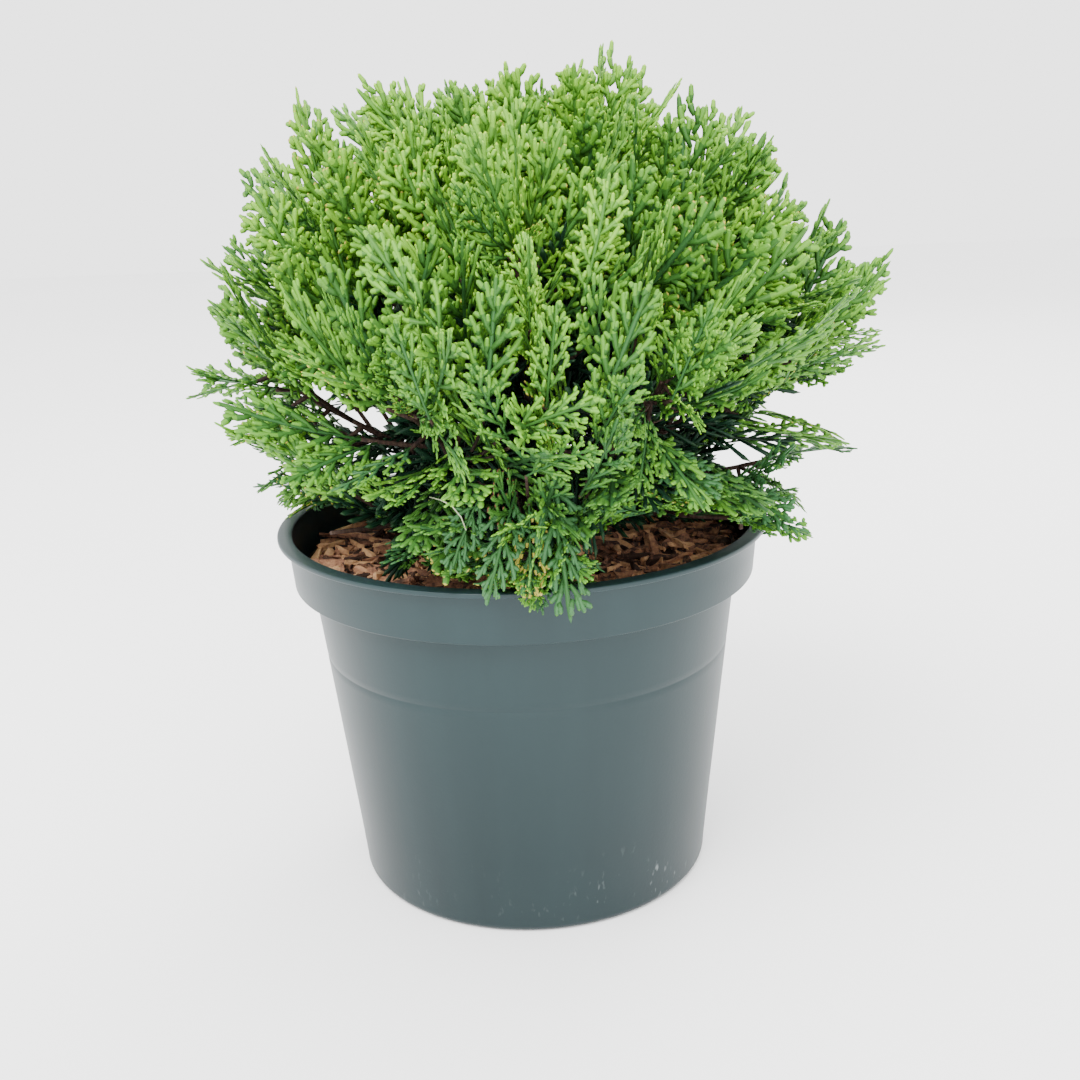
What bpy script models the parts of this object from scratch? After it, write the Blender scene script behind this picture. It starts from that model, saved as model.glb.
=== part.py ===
# A globe arborvitae in a round nursery pot: the pot, the soil with its bark mulch, a short trunk, the
# boughs that leave it, and the masses of flat evergreen sprays that the boughs carry.
# Metres, +Z up. The origin is the centre of the pot's flat underside, and -Y is the plant's front.

import math

import bmesh
import bpy
import numpy as np
from mathutils.bvhtree import BVHTree

# Pot
POT_HEIGHT = 0.1425
RIM_RADIUS = 0.095
LIP_THICKNESS = 0.0018
COLLAR_TOP_RADIUS = 0.0910
COLLAR_FOOT_RADIUS = 0.0898
COLLAR_HEIGHT = 0.0202
COLLAR_STEP = 0.0022
BODY_TOP_RADIUS = 0.0826
BASE_RADIUS = 0.0705
BASE_EDGE_ROUNDING = 0.003
WALL = 0.0016
BASE_THICKNESS = 0.0024
POT_SEGMENTS = 36
DRAIN_COUNT = 6
DRAIN_RADIUS = 0.0045
DRAIN_SIDES = 8
DRAIN_RING_RADIUS = 0.046

# Soil and bark mulch
SEAT_GAP = 0.0003
SOIL_LEVEL = 0.1275
SOIL_SEGMENTS = 24
SOIL_WAVE = 0.0014
SOIL_TOP_RADII = (0.070, 0.050, 0.030)
TRUNK_PAD_RADIUS = 0.014
CHIP_COUNT = 22
CHIP_LENGTHS = (0.009, 0.021)
CHIP_THICKNESS = 0.0024
CHIP_FIELD = (0.020, 0.080)

# Trunk
TRUNK_FOOT = (0.001, 0.0)
TRUNK_LEAN = (0.006, 0.001)
TRUNK_TOP = 0.192
TRUNK_RADII = ((0.0, 0.0092), (0.08, 0.0076), (0.22, 0.0064), (0.5, 0.0052), (0.8, 0.0034), (1.0, 0.0022))
TRUNK_ROWS = (0.0, 0.05, 0.12, 0.22, 0.36, 0.5, 0.65, 0.8, 1.0)
TRUNK_SIDES = 12
ROOT_COUNT = 5
ROOT_FLARE = 0.10

# Crown. Its point of growth lies on the trunk, and each mass has a direction from there.
HEART = np.array((0.004, 0.0, 0.147))
HOLLOW_RADIUS = 0.052
RINGS = (
    # boughs, rise of the mass in degrees, first azimuth, height where the bough leaves the trunk
    (7, 4.0, -90.0, 0.1400),
    (7, 29.0, -64.0, 0.1545),
    (5, 54.0, -90.0, 0.1690),
    (3, 77.0, -30.0, 0.1840),
)
REACH_BY_RISE = (
    # rise in degrees, distance from the heart to the tips of the sprays: left, front and back, right
    (-20.0, 0.100, 0.104, 0.107),
    (0.0, 0.109, 0.113, 0.117),
    (10.0, 0.117, 0.127, 0.130),
    (20.0, 0.137, 0.146, 0.147),
    (32.0, 0.150, 0.157, 0.160),
    (45.0, 0.152, 0.158, 0.161),
    (53.0, 0.163, 0.163, 0.159),
    (63.0, 0.171, 0.169, 0.167),
    (78.0, 0.165, 0.166, 0.167),
    (90.0, 0.165, 0.165, 0.165),
)
REACH_SLACK = 0.004
BOUGH_RADII = (0.0021, 0.0013)
BOUGH_SIDES = 5
BOUGH_RINGS = 5
BOUGH_LIFT = 0.25  # rise of the direction in which a bough leaves the trunk
BOUGH_HANDLE = 0.35  # of the bough's length, to each of the curve's inner points
TOP_BOUGH_SHARE = 0.8  # of the other boughs' thickness
STAGGER = 0.0022
CELL_MARGIN = 0.0003

# Foliage
SPRAYS_PER_MASS = 6
SIDE_SPRAYS_PER_MASS = 5
TIP_SHARES = (0.95, 1.01)  # of the reach
SPREAD_DEGREES = 23.0
STEM_RADII = (0.0014, 0.0004)
STEM_LENGTH = 0.62  # of the way from the hollow to the reach
STEM_RISES = (0.02, 0.10)  # metres upwards over its whole length: the lowest ring's, the others'
TWIG_JOINTS = (0.93, 0.15)  # the first and the last twig's place along the stem
TWIG_HALF_WIDTHS = (0.0009, 0.0008)
MAIN_SPRAY = (0.064, 0.0190, 3)  # length, half width, teeth a side
SIDE_SPRAY = (0.052, 0.0160, 2)
SIDE_SPRAY_LEAN = 38.0
SIDE_SPRAY_PLACE = 0.45
SPRAY_BENDS = (-0.30, 0.22)  # sag or lift of the middle of a spray: the lowest ring's, the others'
RIB_RISES = (0.0008, 0.0008, 0.0003)  # half thickness at the twig's start, the blade's foot, its tip
FIRST_TOOTH = 0.26  # of the blade's length
TEETH_SPAN = 0.62
TOOTH_STAGGER = 0.12  # of a tooth's step, between left and right
TOOTH_LEAD = 0.02
FULLNESS = (0.32, 0.58)  # the stretch of a half circle that the teeth's widths follow
NOTCH_STEP = 0.03
NOTCH_DEPTH = 0.24
LONGEST_BLADE = 0.80
GOLDEN_ANGLE = math.radians(137.5)

# Room round each spray, and how a spray that doesn't fit is tried again
RIM_CLEARANCE = 0.0012
LIP_CLEARANCE = 0.0015
WALL_CLEARANCE = 0.0035
CHIP_CLEARANCE = 0.0055
BLADE_TEST_SHARE = 0.97
TRIES = 24
SHRINK_STEP = 0.016
PULL_BACK_STEP = 0.0064
JITTER_STEP = 0.0009
ROLL_SPREADS = (0.3, 0.1)  # at the first try, and more at each one after it
SEED = 11


def clear_scene():
    for obj in list(bpy.data.objects):
        bpy.data.objects.remove(obj, do_unlink=True)


def make_material(name, color, roughness, metallic=0.0):
    material = bpy.data.materials.new(name)
    material.use_nodes = True
    shader = material.node_tree.nodes["Principled BSDF"]
    shader.inputs["Base Color"].default_value = (*color, 1.0)
    shader.inputs["Roughness"].default_value = roughness
    shader.inputs["Metallic"].default_value = metallic
    material.diffuse_color = (*color, 1.0)
    return material


def pot_plastic():
    return make_material("pot_plastic", (0.115, 0.165, 0.175), 0.42)


def bark_mulch():
    return make_material("bark_mulch", (0.14, 0.055, 0.03), 0.9)


def stem_bark():
    return make_material("stem_bark", (0.12, 0.055, 0.035), 0.85)


def spray_green():
    return make_material("spray_green", (0.10, 0.26, 0.05), 0.6)


def add_object(name, points, faces, material=None):
    mesh = bpy.data.meshes.new(name)
    mesh.from_pydata([tuple(point) for point in points], [], faces)
    if material:
        mesh.materials.append(material)
    mesh.validate()
    obj = bpy.data.objects.new(name, mesh)
    bpy.context.scene.collection.objects.link(obj)
    return obj


def unit(vector):
    return np.asarray(vector, float) / np.linalg.norm(vector)


def cross_frame(along, hint=(0.0, 0.0, 1.0)):
    """Two unit vectors at right angles to `along`, the second as near to `hint` as it can be."""
    hint = np.asarray(hint, float)
    if abs(np.dot(unit(along), unit(hint))) > 0.98:
        hint = np.array((1.0, 0.0, 0.0))
    side = unit(np.cross(along, hint))
    return side, np.cross(side, unit(along))


def shade_round(obj, angle=40.0):
    obj.data.shade_smooth()
    obj.data.set_sharp_from_angle(angle=math.radians(angle))


def apply_modifiers(obj):
    graph = bpy.context.evaluated_depsgraph_get()
    made = bpy.data.meshes.new_from_object(obj.evaluated_get(graph))
    obj.modifiers.clear()
    obj.data = made


def join_by_union(obj, others, solver="EXACT"):
    """Fuses `others` into `obj` with one Boolean union on their collection, and removes them."""
    group = bpy.data.collections.new(obj.name + "_pieces")
    for other in others:
        group.objects.link(other)
        bpy.context.scene.collection.objects.unlink(other)
    bpy.context.scene.collection.children.link(group)
    union = obj.modifiers.new("union", "BOOLEAN")
    union.operation = "UNION"
    union.operand_type = "COLLECTION"
    union.collection = group
    union.solver = solver
    apply_modifiers(obj)
    for other in others:
        bpy.data.objects.remove(other, do_unlink=True)
    bpy.data.collections.remove(group)


def keep_largest_shell(obj):
    """Fills hollows that the union sealed and drops loose scraps, by keeping the largest closed shell."""
    bm = bmesh.new()
    bm.from_mesh(obj.data)
    left = set(bm.verts)
    shells = []
    while left:
        shell = {left.pop()}
        edge_of_search = list(shell)
        while edge_of_search:
            vert = edge_of_search.pop()
            near = {edge.other_vert(vert) for edge in vert.link_edges} - shell
            shell |= near
            edge_of_search += near
        left -= shell
        shells.append(shell)
    shells.sort(key=len)
    bmesh.ops.delete(bm, geom=[vert for shell in shells[:-1] for vert in shell], context="VERTS")
    bm.to_mesh(obj.data)
    bm.free()


def pot_outer_profile():
    """Radius and height down the outside, from the lip's top edge to the middle of the underside."""
    collar_foot = POT_HEIGHT - COLLAR_HEIGHT
    edge = 0.0005
    points = [
        (COLLAR_TOP_RADIUS - WALL, POT_HEIGHT),
        (RIM_RADIUS - edge, POT_HEIGHT),
        (RIM_RADIUS, POT_HEIGHT - edge),
        (RIM_RADIUS, POT_HEIGHT - LIP_THICKNESS),
        (COLLAR_TOP_RADIUS, POT_HEIGHT - LIP_THICKNESS - edge),
        (COLLAR_FOOT_RADIUS, collar_foot + edge),
        (COLLAR_FOOT_RADIUS - 2 * edge, collar_foot - edge),
        (BODY_TOP_RADIUS, collar_foot - COLLAR_STEP),
    ]
    for turn in np.linspace(0.0, math.pi / 2, 4):
        points.append((
            BASE_RADIUS - BASE_EDGE_ROUNDING * (1 - math.cos(turn)),
            BASE_EDGE_ROUNDING * (1 - math.sin(turn)),
        ))
    points.append((0.0, 0.0))
    return points


def pot_inner_profile():
    """Radius and height up the inside, from the middle of the floor to just under the lip."""
    collar_foot = POT_HEIGHT - COLLAR_HEIGHT
    return [
        (0.0, BASE_THICKNESS),
        (BASE_RADIUS - WALL - BASE_EDGE_ROUNDING, BASE_THICKNESS),
        (BASE_RADIUS - WALL, BASE_THICKNESS + BASE_EDGE_ROUNDING),
        (BODY_TOP_RADIUS - WALL, collar_foot - COLLAR_STEP + WALL),
        (COLLAR_FOOT_RADIUS - WALL, collar_foot + WALL),
    ]


def turn_profile(name, profile, segments, material):
    """A solid of revolution about Z, from a profile that runs down the outside."""
    obj = add_object(name, [(r, 0.0, z) for r, z in profile], [], material)
    bm = bmesh.new()
    verts = [bm.verts.new((r, 0.0, z)) for r, z in profile]
    closed = verts + ([] if profile[0][0] == 0.0 else verts[:1])
    for first, second in zip(closed, closed[1:]):
        bm.edges.new((first, second))
    bm.to_mesh(obj.data)
    bm.free()
    screw = obj.modifiers.new("turn", "SCREW")
    screw.axis = "Z"
    screw.steps = segments
    screw.render_steps = segments
    screw.use_merge_vertices = True
    screw.merge_threshold = 0.00001
    return obj


def make_pot(material):
    pot = turn_profile("pot", pot_outer_profile() + pot_inner_profile(), POT_SEGMENTS, material)
    for k in range(DRAIN_COUNT):
        angle = 2 * math.pi * (k + 0.5) / DRAIN_COUNT
        bm = bmesh.new()
        bmesh.ops.create_cone(
            bm,
            cap_ends=True,
            segments=DRAIN_SIDES,
            radius1=DRAIN_RADIUS,
            radius2=DRAIN_RADIUS,
            depth=4 * BASE_THICKNESS,
        )
        cutter = add_object(f"drain_cutter_{k}", [], [])
        bm.to_mesh(cutter.data)
        bm.free()
        cutter.location = (DRAIN_RING_RADIUS * math.cos(angle), DRAIN_RING_RADIUS * math.sin(angle), 0.0)
        cutter.hide_render = True
        cutter.display_type = "WIRE"
        cut = pot.modifiers.new(f"drain_{k}", "BOOLEAN")
        cut.operation = "DIFFERENCE"
        cut.object = cutter
    shade_round(pot)
    return pot


def inner_radius(height):
    """The pot's inner radius at a height, by straight stretches between the inner profile's points."""
    rows = sorted((z, r) for r, z in pot_inner_profile()[1:] + [(COLLAR_TOP_RADIUS - WALL, POT_HEIGHT)])
    return float(np.interp(height, [z for z, _ in rows], [r for _, r in rows]))


def soil_height(x, y):
    """The level of the soil: low waves that die out under the trunk and at the wall."""
    radius = math.hypot(x, y)
    waves = math.sin(95 * x + 1.0) * math.cos(80 * y) + 0.6 * math.sin(170 * x - 130 * y)
    wall = inner_radius(SOIL_LEVEL)
    outermost = SOIL_TOP_RADII[0]
    near_trunk = (radius - TRUNK_PAD_RADIUS) / (SOIL_TOP_RADII[-1] - TRUNK_PAD_RADIUS)
    near_wall = (wall - radius) / (wall - outermost)
    return SOIL_LEVEL + SOIL_WAVE * waves * float(np.clip(min(near_trunk, near_wall), 0.0, 1.0))


def make_soil(material):
    """The plug that fills the pot, with chips of bark sunk in its uneven top."""
    points = [(0.0, 0.0, BASE_THICKNESS + SEAT_GAP)]
    rings = [(radius - 2 * SEAT_GAP, height + SEAT_GAP) for radius, height in pot_inner_profile()[1:]]
    rings.append((inner_radius(SOIL_LEVEL) - 2 * SEAT_GAP, SOIL_LEVEL))
    top_radii = (*SOIL_TOP_RADII, TRUNK_PAD_RADIUS)
    for k in range(SOIL_SEGMENTS):
        angle = 2 * math.pi * k / SOIL_SEGMENTS
        for radius, height in rings:
            points.append((radius * math.cos(angle), radius * math.sin(angle), height))
        for radius in top_radii:
            x = radius * math.cos(angle)
            y = radius * math.sin(angle)
            points.append((x, y, soil_height(x, y)))
    points.append((0.0, 0.0, SOIL_LEVEL))
    rows = len(rings) + len(top_radii)
    last = len(points) - 1
    faces = []
    for k in range(SOIL_SEGMENTS):
        here = 1 + k * rows
        there = 1 + (k + 1) % SOIL_SEGMENTS * rows
        faces.append((0, there, here))
        for j in range(rows - 1):
            faces.append((here + j, there + j, there + j + 1, here + j + 1))
        faces.append((here + rows - 1, there + rows - 1, last))
    soil = add_object("soil", points, faces, material)
    join_by_union(soil, [make_chip(k) for k in range(CHIP_COUNT)])
    shade_round(soil)
    return soil


def make_chip(index):
    """A splinter of bark: a flat, tapered slab with one thick and one thin end, tilted in the soil."""
    rng = np.random.default_rng(SEED * 100 + index)
    length = rng.uniform(*CHIP_LENGTHS)
    width = length * rng.uniform(0.25, 0.5)
    radius = math.sqrt(rng.uniform((CHIP_FIELD[0] / CHIP_FIELD[1]) ** 2, 1.0)) * CHIP_FIELD[1]
    angle = index * GOLDEN_ANGLE
    middle = np.array((radius * math.cos(angle), radius * math.sin(angle), 0.0))
    middle[2] = soil_height(middle[0], middle[1]) + 0.25 * CHIP_THICKNESS
    room = inner_radius(SOIL_LEVEL) - 3 * SEAT_GAP - radius
    turn = rng.uniform(0, math.pi)
    if room < length / 2:
        turn = angle + math.pi / 2
    along = np.array((math.cos(turn), math.sin(turn), rng.uniform(-0.12, 0.12)))
    along = unit(along)
    side, up = cross_frame(along)
    points = []
    for end, share, thick in ((-0.5, 0.7, 1.0), (0.5, 0.45, 0.6)):
        for across, rise in ((-1, -1), (1, -1), (0.8, 1), (-0.9, 1)):
            offset = side * across * share * width / 2 + up * rise * thick * CHIP_THICKNESS / 2
            points.append(middle + along * end * length + offset)
    faces = [(3, 2, 1, 0), (4, 5, 6, 7), (0, 1, 5, 4), (1, 2, 6, 5), (2, 3, 7, 6), (3, 0, 4, 7)]
    chip = add_object(f"chip_{index}", points, faces)
    face_outwards(chip)
    return chip


def face_outwards(obj):
    bm = bmesh.new()
    bm.from_mesh(obj.data)
    bmesh.ops.recalc_face_normals(bm, faces=bm.faces)
    bm.to_mesh(obj.data)
    bm.free()


def tube_points(path, radii, sides, hint=(0.0, 0.0, 1.0)):
    """Rings of points round a path, each ring square to the path."""
    path = np.asarray(path, float)
    along = np.gradient(path, axis=0)
    rings = []
    for centre, direction, radius in zip(path, along, radii):
        side, up = cross_frame(direction, hint)
        turns = 2 * math.pi * np.arange(sides) / sides
        ring = centre + radius * (np.outer(np.cos(turns), side) + np.outer(np.sin(turns), up))
        rings.append(ring)
    return rings


def tube_faces(ring_count, sides):
    faces = []
    for j in range(ring_count - 1):
        for k in range(sides):
            following = (k + 1) % sides
            faces.append((
                j * sides + k,
                j * sides + following,
                (j + 1) * sides + following,
                (j + 1) * sides + k,
            ))
    return faces


def make_tube(name, path, radii, sides, material=None, hint=(0.0, 0.0, 1.0)):
    """A tapering limb with flat ends."""
    rings = tube_points(path, radii, sides, hint)
    faces = tube_faces(len(rings), sides)
    faces.append(tuple(range(sides))[::-1])
    faces.append(tuple(range((len(rings) - 1) * sides, len(rings) * sides)))
    obj = add_object(name, np.concatenate(rings), faces, material)
    face_outwards(obj)
    return obj


def trunk_middle(height):
    """The trunk's middle line at a height: it leans a little as it rises."""
    share = (height - SOIL_LEVEL) / (TRUNK_TOP - SOIL_LEVEL)
    x = TRUNK_FOOT[0] + (TRUNK_LEAN[0] - TRUNK_FOOT[0]) * share
    y = TRUNK_FOOT[1] + (TRUNK_LEAN[1] - TRUNK_FOOT[1]) * share
    return np.array((x, y, height))


def trunk_radius(height):
    share = (height - SOIL_LEVEL) / (TRUNK_TOP - SOIL_LEVEL)
    return float(np.interp(share, [row[0] for row in TRUNK_RADII], [row[1] for row in TRUNK_RADII]))


def make_trunk(material):
    """The short trunk, from a flat cut at the soil over its root flare to its tip inside the crown."""
    foot = SOIL_LEVEL + SEAT_GAP
    heights = [foot + (TRUNK_TOP - foot) * share for share in TRUNK_ROWS]
    points = []
    for row, height in enumerate(heights):
        for k in range(TRUNK_SIDES):
            angle = 2 * math.pi * k / TRUNK_SIDES
            flare = 1 + ROOT_FLARE * max(0.0, 1 - row / 2) * math.cos(ROOT_COUNT * angle)
            radius = trunk_radius(height) * flare
            points.append(trunk_middle(height) + radius * np.array((math.cos(angle), math.sin(angle), 0.0)))
    faces = tube_faces(len(heights), TRUNK_SIDES)
    faces.append(tuple(range(TRUNK_SIDES))[::-1])
    faces.append(tuple(range((len(heights) - 1) * TRUNK_SIDES, len(heights) * TRUNK_SIDES)))
    trunk = add_object("trunk", points, faces, material)
    face_outwards(trunk)
    shade_round(trunk)
    return trunk


def direction(rise, azimuth):
    """The unit vector that rises by `rise` degrees towards `azimuth` degrees, counted from +X."""
    rise, azimuth = math.radians(rise), math.radians(azimuth)
    return np.array((math.cos(rise) * math.cos(azimuth), math.cos(rise) * math.sin(azimuth), math.sin(rise)))


def crown_plan():
    """One entry for each bough and its mass: name, direction, azimuth and where the bough starts."""
    plan = []
    for ring, (count, rise, first, height) in enumerate(RINGS):
        for k in range(count):
            azimuth = first + 360.0 * k / count
            plan.append({
                "name": f"{ring + 1}{'abcdefg'[k]}",
                "ring": ring,
                "axis": direction(rise, azimuth),
                "azimuth": azimuth,
                "start": height + (STAGGER if k % 2 else -STAGGER) * (ring > 0),
            })
    return plan


def reach(out):
    """The distance from the heart to the tips, in one direction or in many."""
    out = np.asarray(out, float)
    rise = np.degrees(np.arcsin(np.clip(out[..., 2], -1.0, 1.0)))
    rises, *columns = np.array(REACH_BY_RISE).T
    left, middle, right = (np.interp(rise, rises, column) for column in columns)
    to_the_right = out[..., 0] / np.maximum(np.hypot(out[..., 0], out[..., 1]), 1e-9)
    side = np.where(to_the_right < 0, left, right)
    return middle + (side - middle) * np.abs(to_the_right)


def cell_planes(entry, plan):
    """Normals of the planes through the heart that part this mass's space from each other mass's."""
    return np.array([unit(entry["axis"] - other["axis"]) for other in plan if other is not entry])


def make_bough(entry, material):
    """One tapering limb: it starts on the trunk's side and bends towards its mass."""
    outward = direction(0.0, entry["azimuth"])
    height = entry["start"]
    leave = unit(outward + (0.0, 0.0, BOUGH_LIFT))
    surface = trunk_radius(height) + SEAT_GAP
    start = trunk_middle(height) + outward * surface
    tip = HEART + entry["axis"] * HOLLOW_RADIUS
    length = np.linalg.norm(tip - start)
    share = np.linspace(0.0, 1.0, BOUGH_RINGS)[:, None]
    second = start + leave * length * BOUGH_HANDLE
    third = tip - entry["axis"] * length * BOUGH_HANDLE
    path = (
        start * (1 - share) ** 3
        + 3 * second * share * (1 - share) ** 2
        + 3 * third * share**2 * (1 - share)
        + tip * share**3
    )
    radii = np.linspace(*BOUGH_RADII, BOUGH_RINGS)
    if entry["ring"] == len(RINGS) - 1:
        radii = radii * TOP_BOUGH_SHARE
    hint = np.cross(outward, (0.0, 0.0, 1.0))
    rings = tube_points(path, radii, BOUGH_SIDES, hint)
    rings[0] = np.array([on_trunk_side(point, leave) for point in rings[0]])
    rings[-1] = tip + (rings[-1] - tip) - np.outer((rings[-1] - tip) @ entry["axis"], entry["axis"])
    middle = on_trunk_side(start, leave)
    count = BOUGH_RINGS * BOUGH_SIDES
    faces = tube_faces(BOUGH_RINGS, BOUGH_SIDES)
    faces += [(count, (k + 1) % BOUGH_SIDES, k) for k in range(BOUGH_SIDES)]
    faces.append(tuple(range(count - BOUGH_SIDES, count)))
    bough = add_object(f"bough_{entry['name']}", list(np.concatenate(rings)) + [middle], faces, material)
    face_outwards(bough)
    shade_round(bough, 60.0)
    return bough


def on_trunk_side(point, leave):
    """The point slid along `leave` until it stands just clear of the trunk's side."""
    for _ in range(12):
        off = point - trunk_middle(point[2])
        off[2] = 0.0
        short = trunk_radius(point[2]) * 1.02 + SEAT_GAP - np.linalg.norm(off)
        point = point + leave * short / np.dot(leave, unit(off))
    return point


def clear_of_pot(points):
    """True where points stand above the soil's chips and clear of the rim, inside it and outside it."""
    radius = np.hypot(points[:, 0], points[:, 1])
    above_rim = points[:, 2] > POT_HEIGHT + RIM_CLEARANCE
    within_wall = radius < COLLAR_TOP_RADIUS - WALL - WALL_CLEARANCE
    inside = within_wall & (points[:, 2] > SOIL_LEVEL + CHIP_CLEARANCE)
    outside = (radius > RIM_RADIUS + LIP_CLEARANCE) & (points[:, 2] > POT_HEIGHT - COLLAR_HEIGHT)
    return above_rim | inside | outside


def keeps_to_cell(points, planes):
    """True if every point lies within the reach, outside the hollow and on this mass's side of each plane."""
    from_heart = points - HEART
    distance = np.linalg.norm(from_heart, axis=1)
    inside = (from_heart @ planes.T).min(axis=1) > CELL_MARGIN
    beyond_hollow = distance > HOLLOW_RADIUS + SEAT_GAP
    within_reach = distance < reach(from_heart / distance[:, None]) + REACH_SLACK
    return bool((inside & beyond_hollow & within_reach).all())


def spray_shape(start, tip, blade_length, side, bend, width, teeth):
    """A flat spray on its twig: a rib of diamond section that widens into a toothed blade.

    Each pair of teeth has its own point on the rib just before it, so that no triangle folds over.
    Returns the points, the triangles, and the middle line's points.
    """
    length = np.linalg.norm(tip - start)
    along = (tip - start) / length
    side = unit(side - along * np.dot(side, along))
    flat_up = np.cross(side, along)
    blade_share = blade_length / length
    blade_from = 1.0 - blade_share

    def rib(share):
        return start + along * share * length + bend * length * (share * share - share)

    points = []
    outlines = []
    for sign in (-1, 1):
        shares = [0.0, blade_from]
        widths = [TWIG_HALF_WIDTHS[0], TWIG_HALF_WIDTHS[1]]
        for k in range(teeth):
            place = FIRST_TOOTH + (TEETH_SPAN * k - TOOTH_STAGGER * (sign > 0)) / teeth
            share = blade_from + blade_share * place
            fullness = math.sin(math.pi * (FULLNESS[0] + FULLNESS[1] * k / teeth))
            shares += [share, share + NOTCH_STEP * blade_share]
            widths += [width * fullness, width * NOTCH_DEPTH * fullness]
        ids = list(range(len(points), len(points) + len(shares)))
        points += [rib(share) + side * sign * wide for share, wide in zip(shares, widths)]
        outlines.append((ids, shares))
    tip_id = len(points)
    points.append(rib(1.0))
    rib_places = [FIRST_TOOTH - TOOTH_LEAD + (TEETH_SPAN * k - TOOTH_STAGGER) / teeth for k in range(teeth)]
    rib_shares = [0.0] + [blade_from + blade_share * place for place in rib_places]
    middle = [rib(share) for share in rib_shares]
    rises = np.interp(rib_shares, (0.0, blade_from, 1.0), RIB_RISES)
    faces = []
    starts = []
    for upward in (1, -1):
        rib_ids = list(range(len(points), len(points) + len(rib_shares)))
        starts.append(rib_ids[0])
        points += [point + flat_up * upward * rise for point, rise in zip(middle, rises)]
        for sign, (ids, shares) in zip((-1, 1), outlines):
            strip = zip_strip(rib_ids + [tip_id], (*rib_shares, 1.0), ids + [tip_id], (*shares, 1.0))
            faces += strip if sign * upward > 0 else [face[::-1] for face in strip]
    faces.append((outlines[0][0][0], starts[0], outlines[1][0][0], starts[1]))
    return np.array(points), faces, middle


def zip_strip(inner, inner_shares, outer, outer_shares):
    """Triangles between two lines of points that start together and end together."""
    faces = []
    i = j = 0
    while i < len(inner) - 1 or j < len(outer) - 1:
        step_inner = j == len(outer) - 1 or (
            i < len(inner) - 1 and inner_shares[i + 1] <= outer_shares[j + 1]
        )
        if step_inner:
            face = (inner[i], outer[j], inner[i + 1])
            i += 1
        else:
            face = (inner[i], outer[j], outer[j + 1])
            j += 1
        if len(set(face)) == 3:
            faces.append(face)
    return faces


def with_middles(points, faces):
    """The points with the middles of the faces' sides and of the faces."""
    corners = points[np.array(faces)]
    middles = [(corners[:, a] + corners[:, b]) / 2 for a, b in ((0, 1), (1, 2), (2, 0))]
    return np.concatenate([points, *middles, corners.mean(axis=1)])


def search_trees(points, faces, tip, blade_length):
    """Search trees of the whole spray and of its blade without the twig."""
    middles = np.array([points[list(face)].mean(axis=0) for face in faces])
    in_blade = np.linalg.norm(middles - tip, axis=1) < blade_length * BLADE_TEST_SHARE
    blade_faces = [face for face, keep in zip(faces, in_blade) if keep]
    corners = [tuple(point) for point in points]
    return BVHTree.FromPolygons(corners, faces), BVHTree.FromPolygons(corners, blade_faces)


def crosses(trees, taken, parent):
    """True where a spray would cut one that is already there; it may meet its parent at its own twig."""
    whole, blade = trees
    for other in taken:
        if other is parent:
            if whole.overlap(other[1]) or blade.overlap(other[0]):
                return True
        elif whole.overlap(other[0]):
            return True
    return False


def fitted_spray(rng, from_point, tip, size, axis, bend, planes, taken, parent=None):
    """The first of a few seeded tries whose spray keeps to its cell and crosses no other spray."""
    length, width, teeth = size
    for attempt in range(TRIES):
        shrink = 1.0 - SHRINK_STEP * attempt
        jitter = rng.normal(size=3) * JITTER_STEP * attempt
        end = from_point + (tip + jitter - from_point) * (1 - PULL_BACK_STEP * attempt)
        blade_length = min(length * shrink, np.linalg.norm(end - from_point) * LONGEST_BLADE)
        side, up = cross_frame(unit(end - from_point), axis)
        roll = rng.normal() * (ROLL_SPREADS[0] + ROLL_SPREADS[1] * attempt)
        across = side * math.cos(roll) + up * math.sin(roll)
        points, faces, middle = spray_shape(
            from_point, end, blade_length, across, bend, width * shrink, teeth
        )
        if not keeps_to_cell(points, planes):
            continue
        if not clear_of_pot(with_middles(points, faces[:-1])).all():
            continue
        trees = search_trees(points, faces, end, blade_length)
        if crosses(trees, taken, parent):
            continue
        taken.append(trees)
        return points, faces, middle
    return None


def stem_path(entry):
    """The mass's stem: it starts just clear of the bough's tip and turns a little upwards."""
    axis = entry["axis"]
    start = HEART + axis * (HOLLOW_RADIUS + SEAT_GAP)
    length = STEM_LENGTH * (reach(axis) - HOLLOW_RADIUS)
    rise = np.array((0.0, 0.0, STEM_RISES[entry["ring"] > 0]))
    return np.array([start + axis * length * share + rise * length * share**2 for share in (0.0, 0.5, 1.0)])


def along_path(path, share):
    place = share * (len(path) - 1)
    low = min(int(place), len(path) - 2)
    return path[low] + (path[low + 1] - path[low]) * (place - low)


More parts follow.
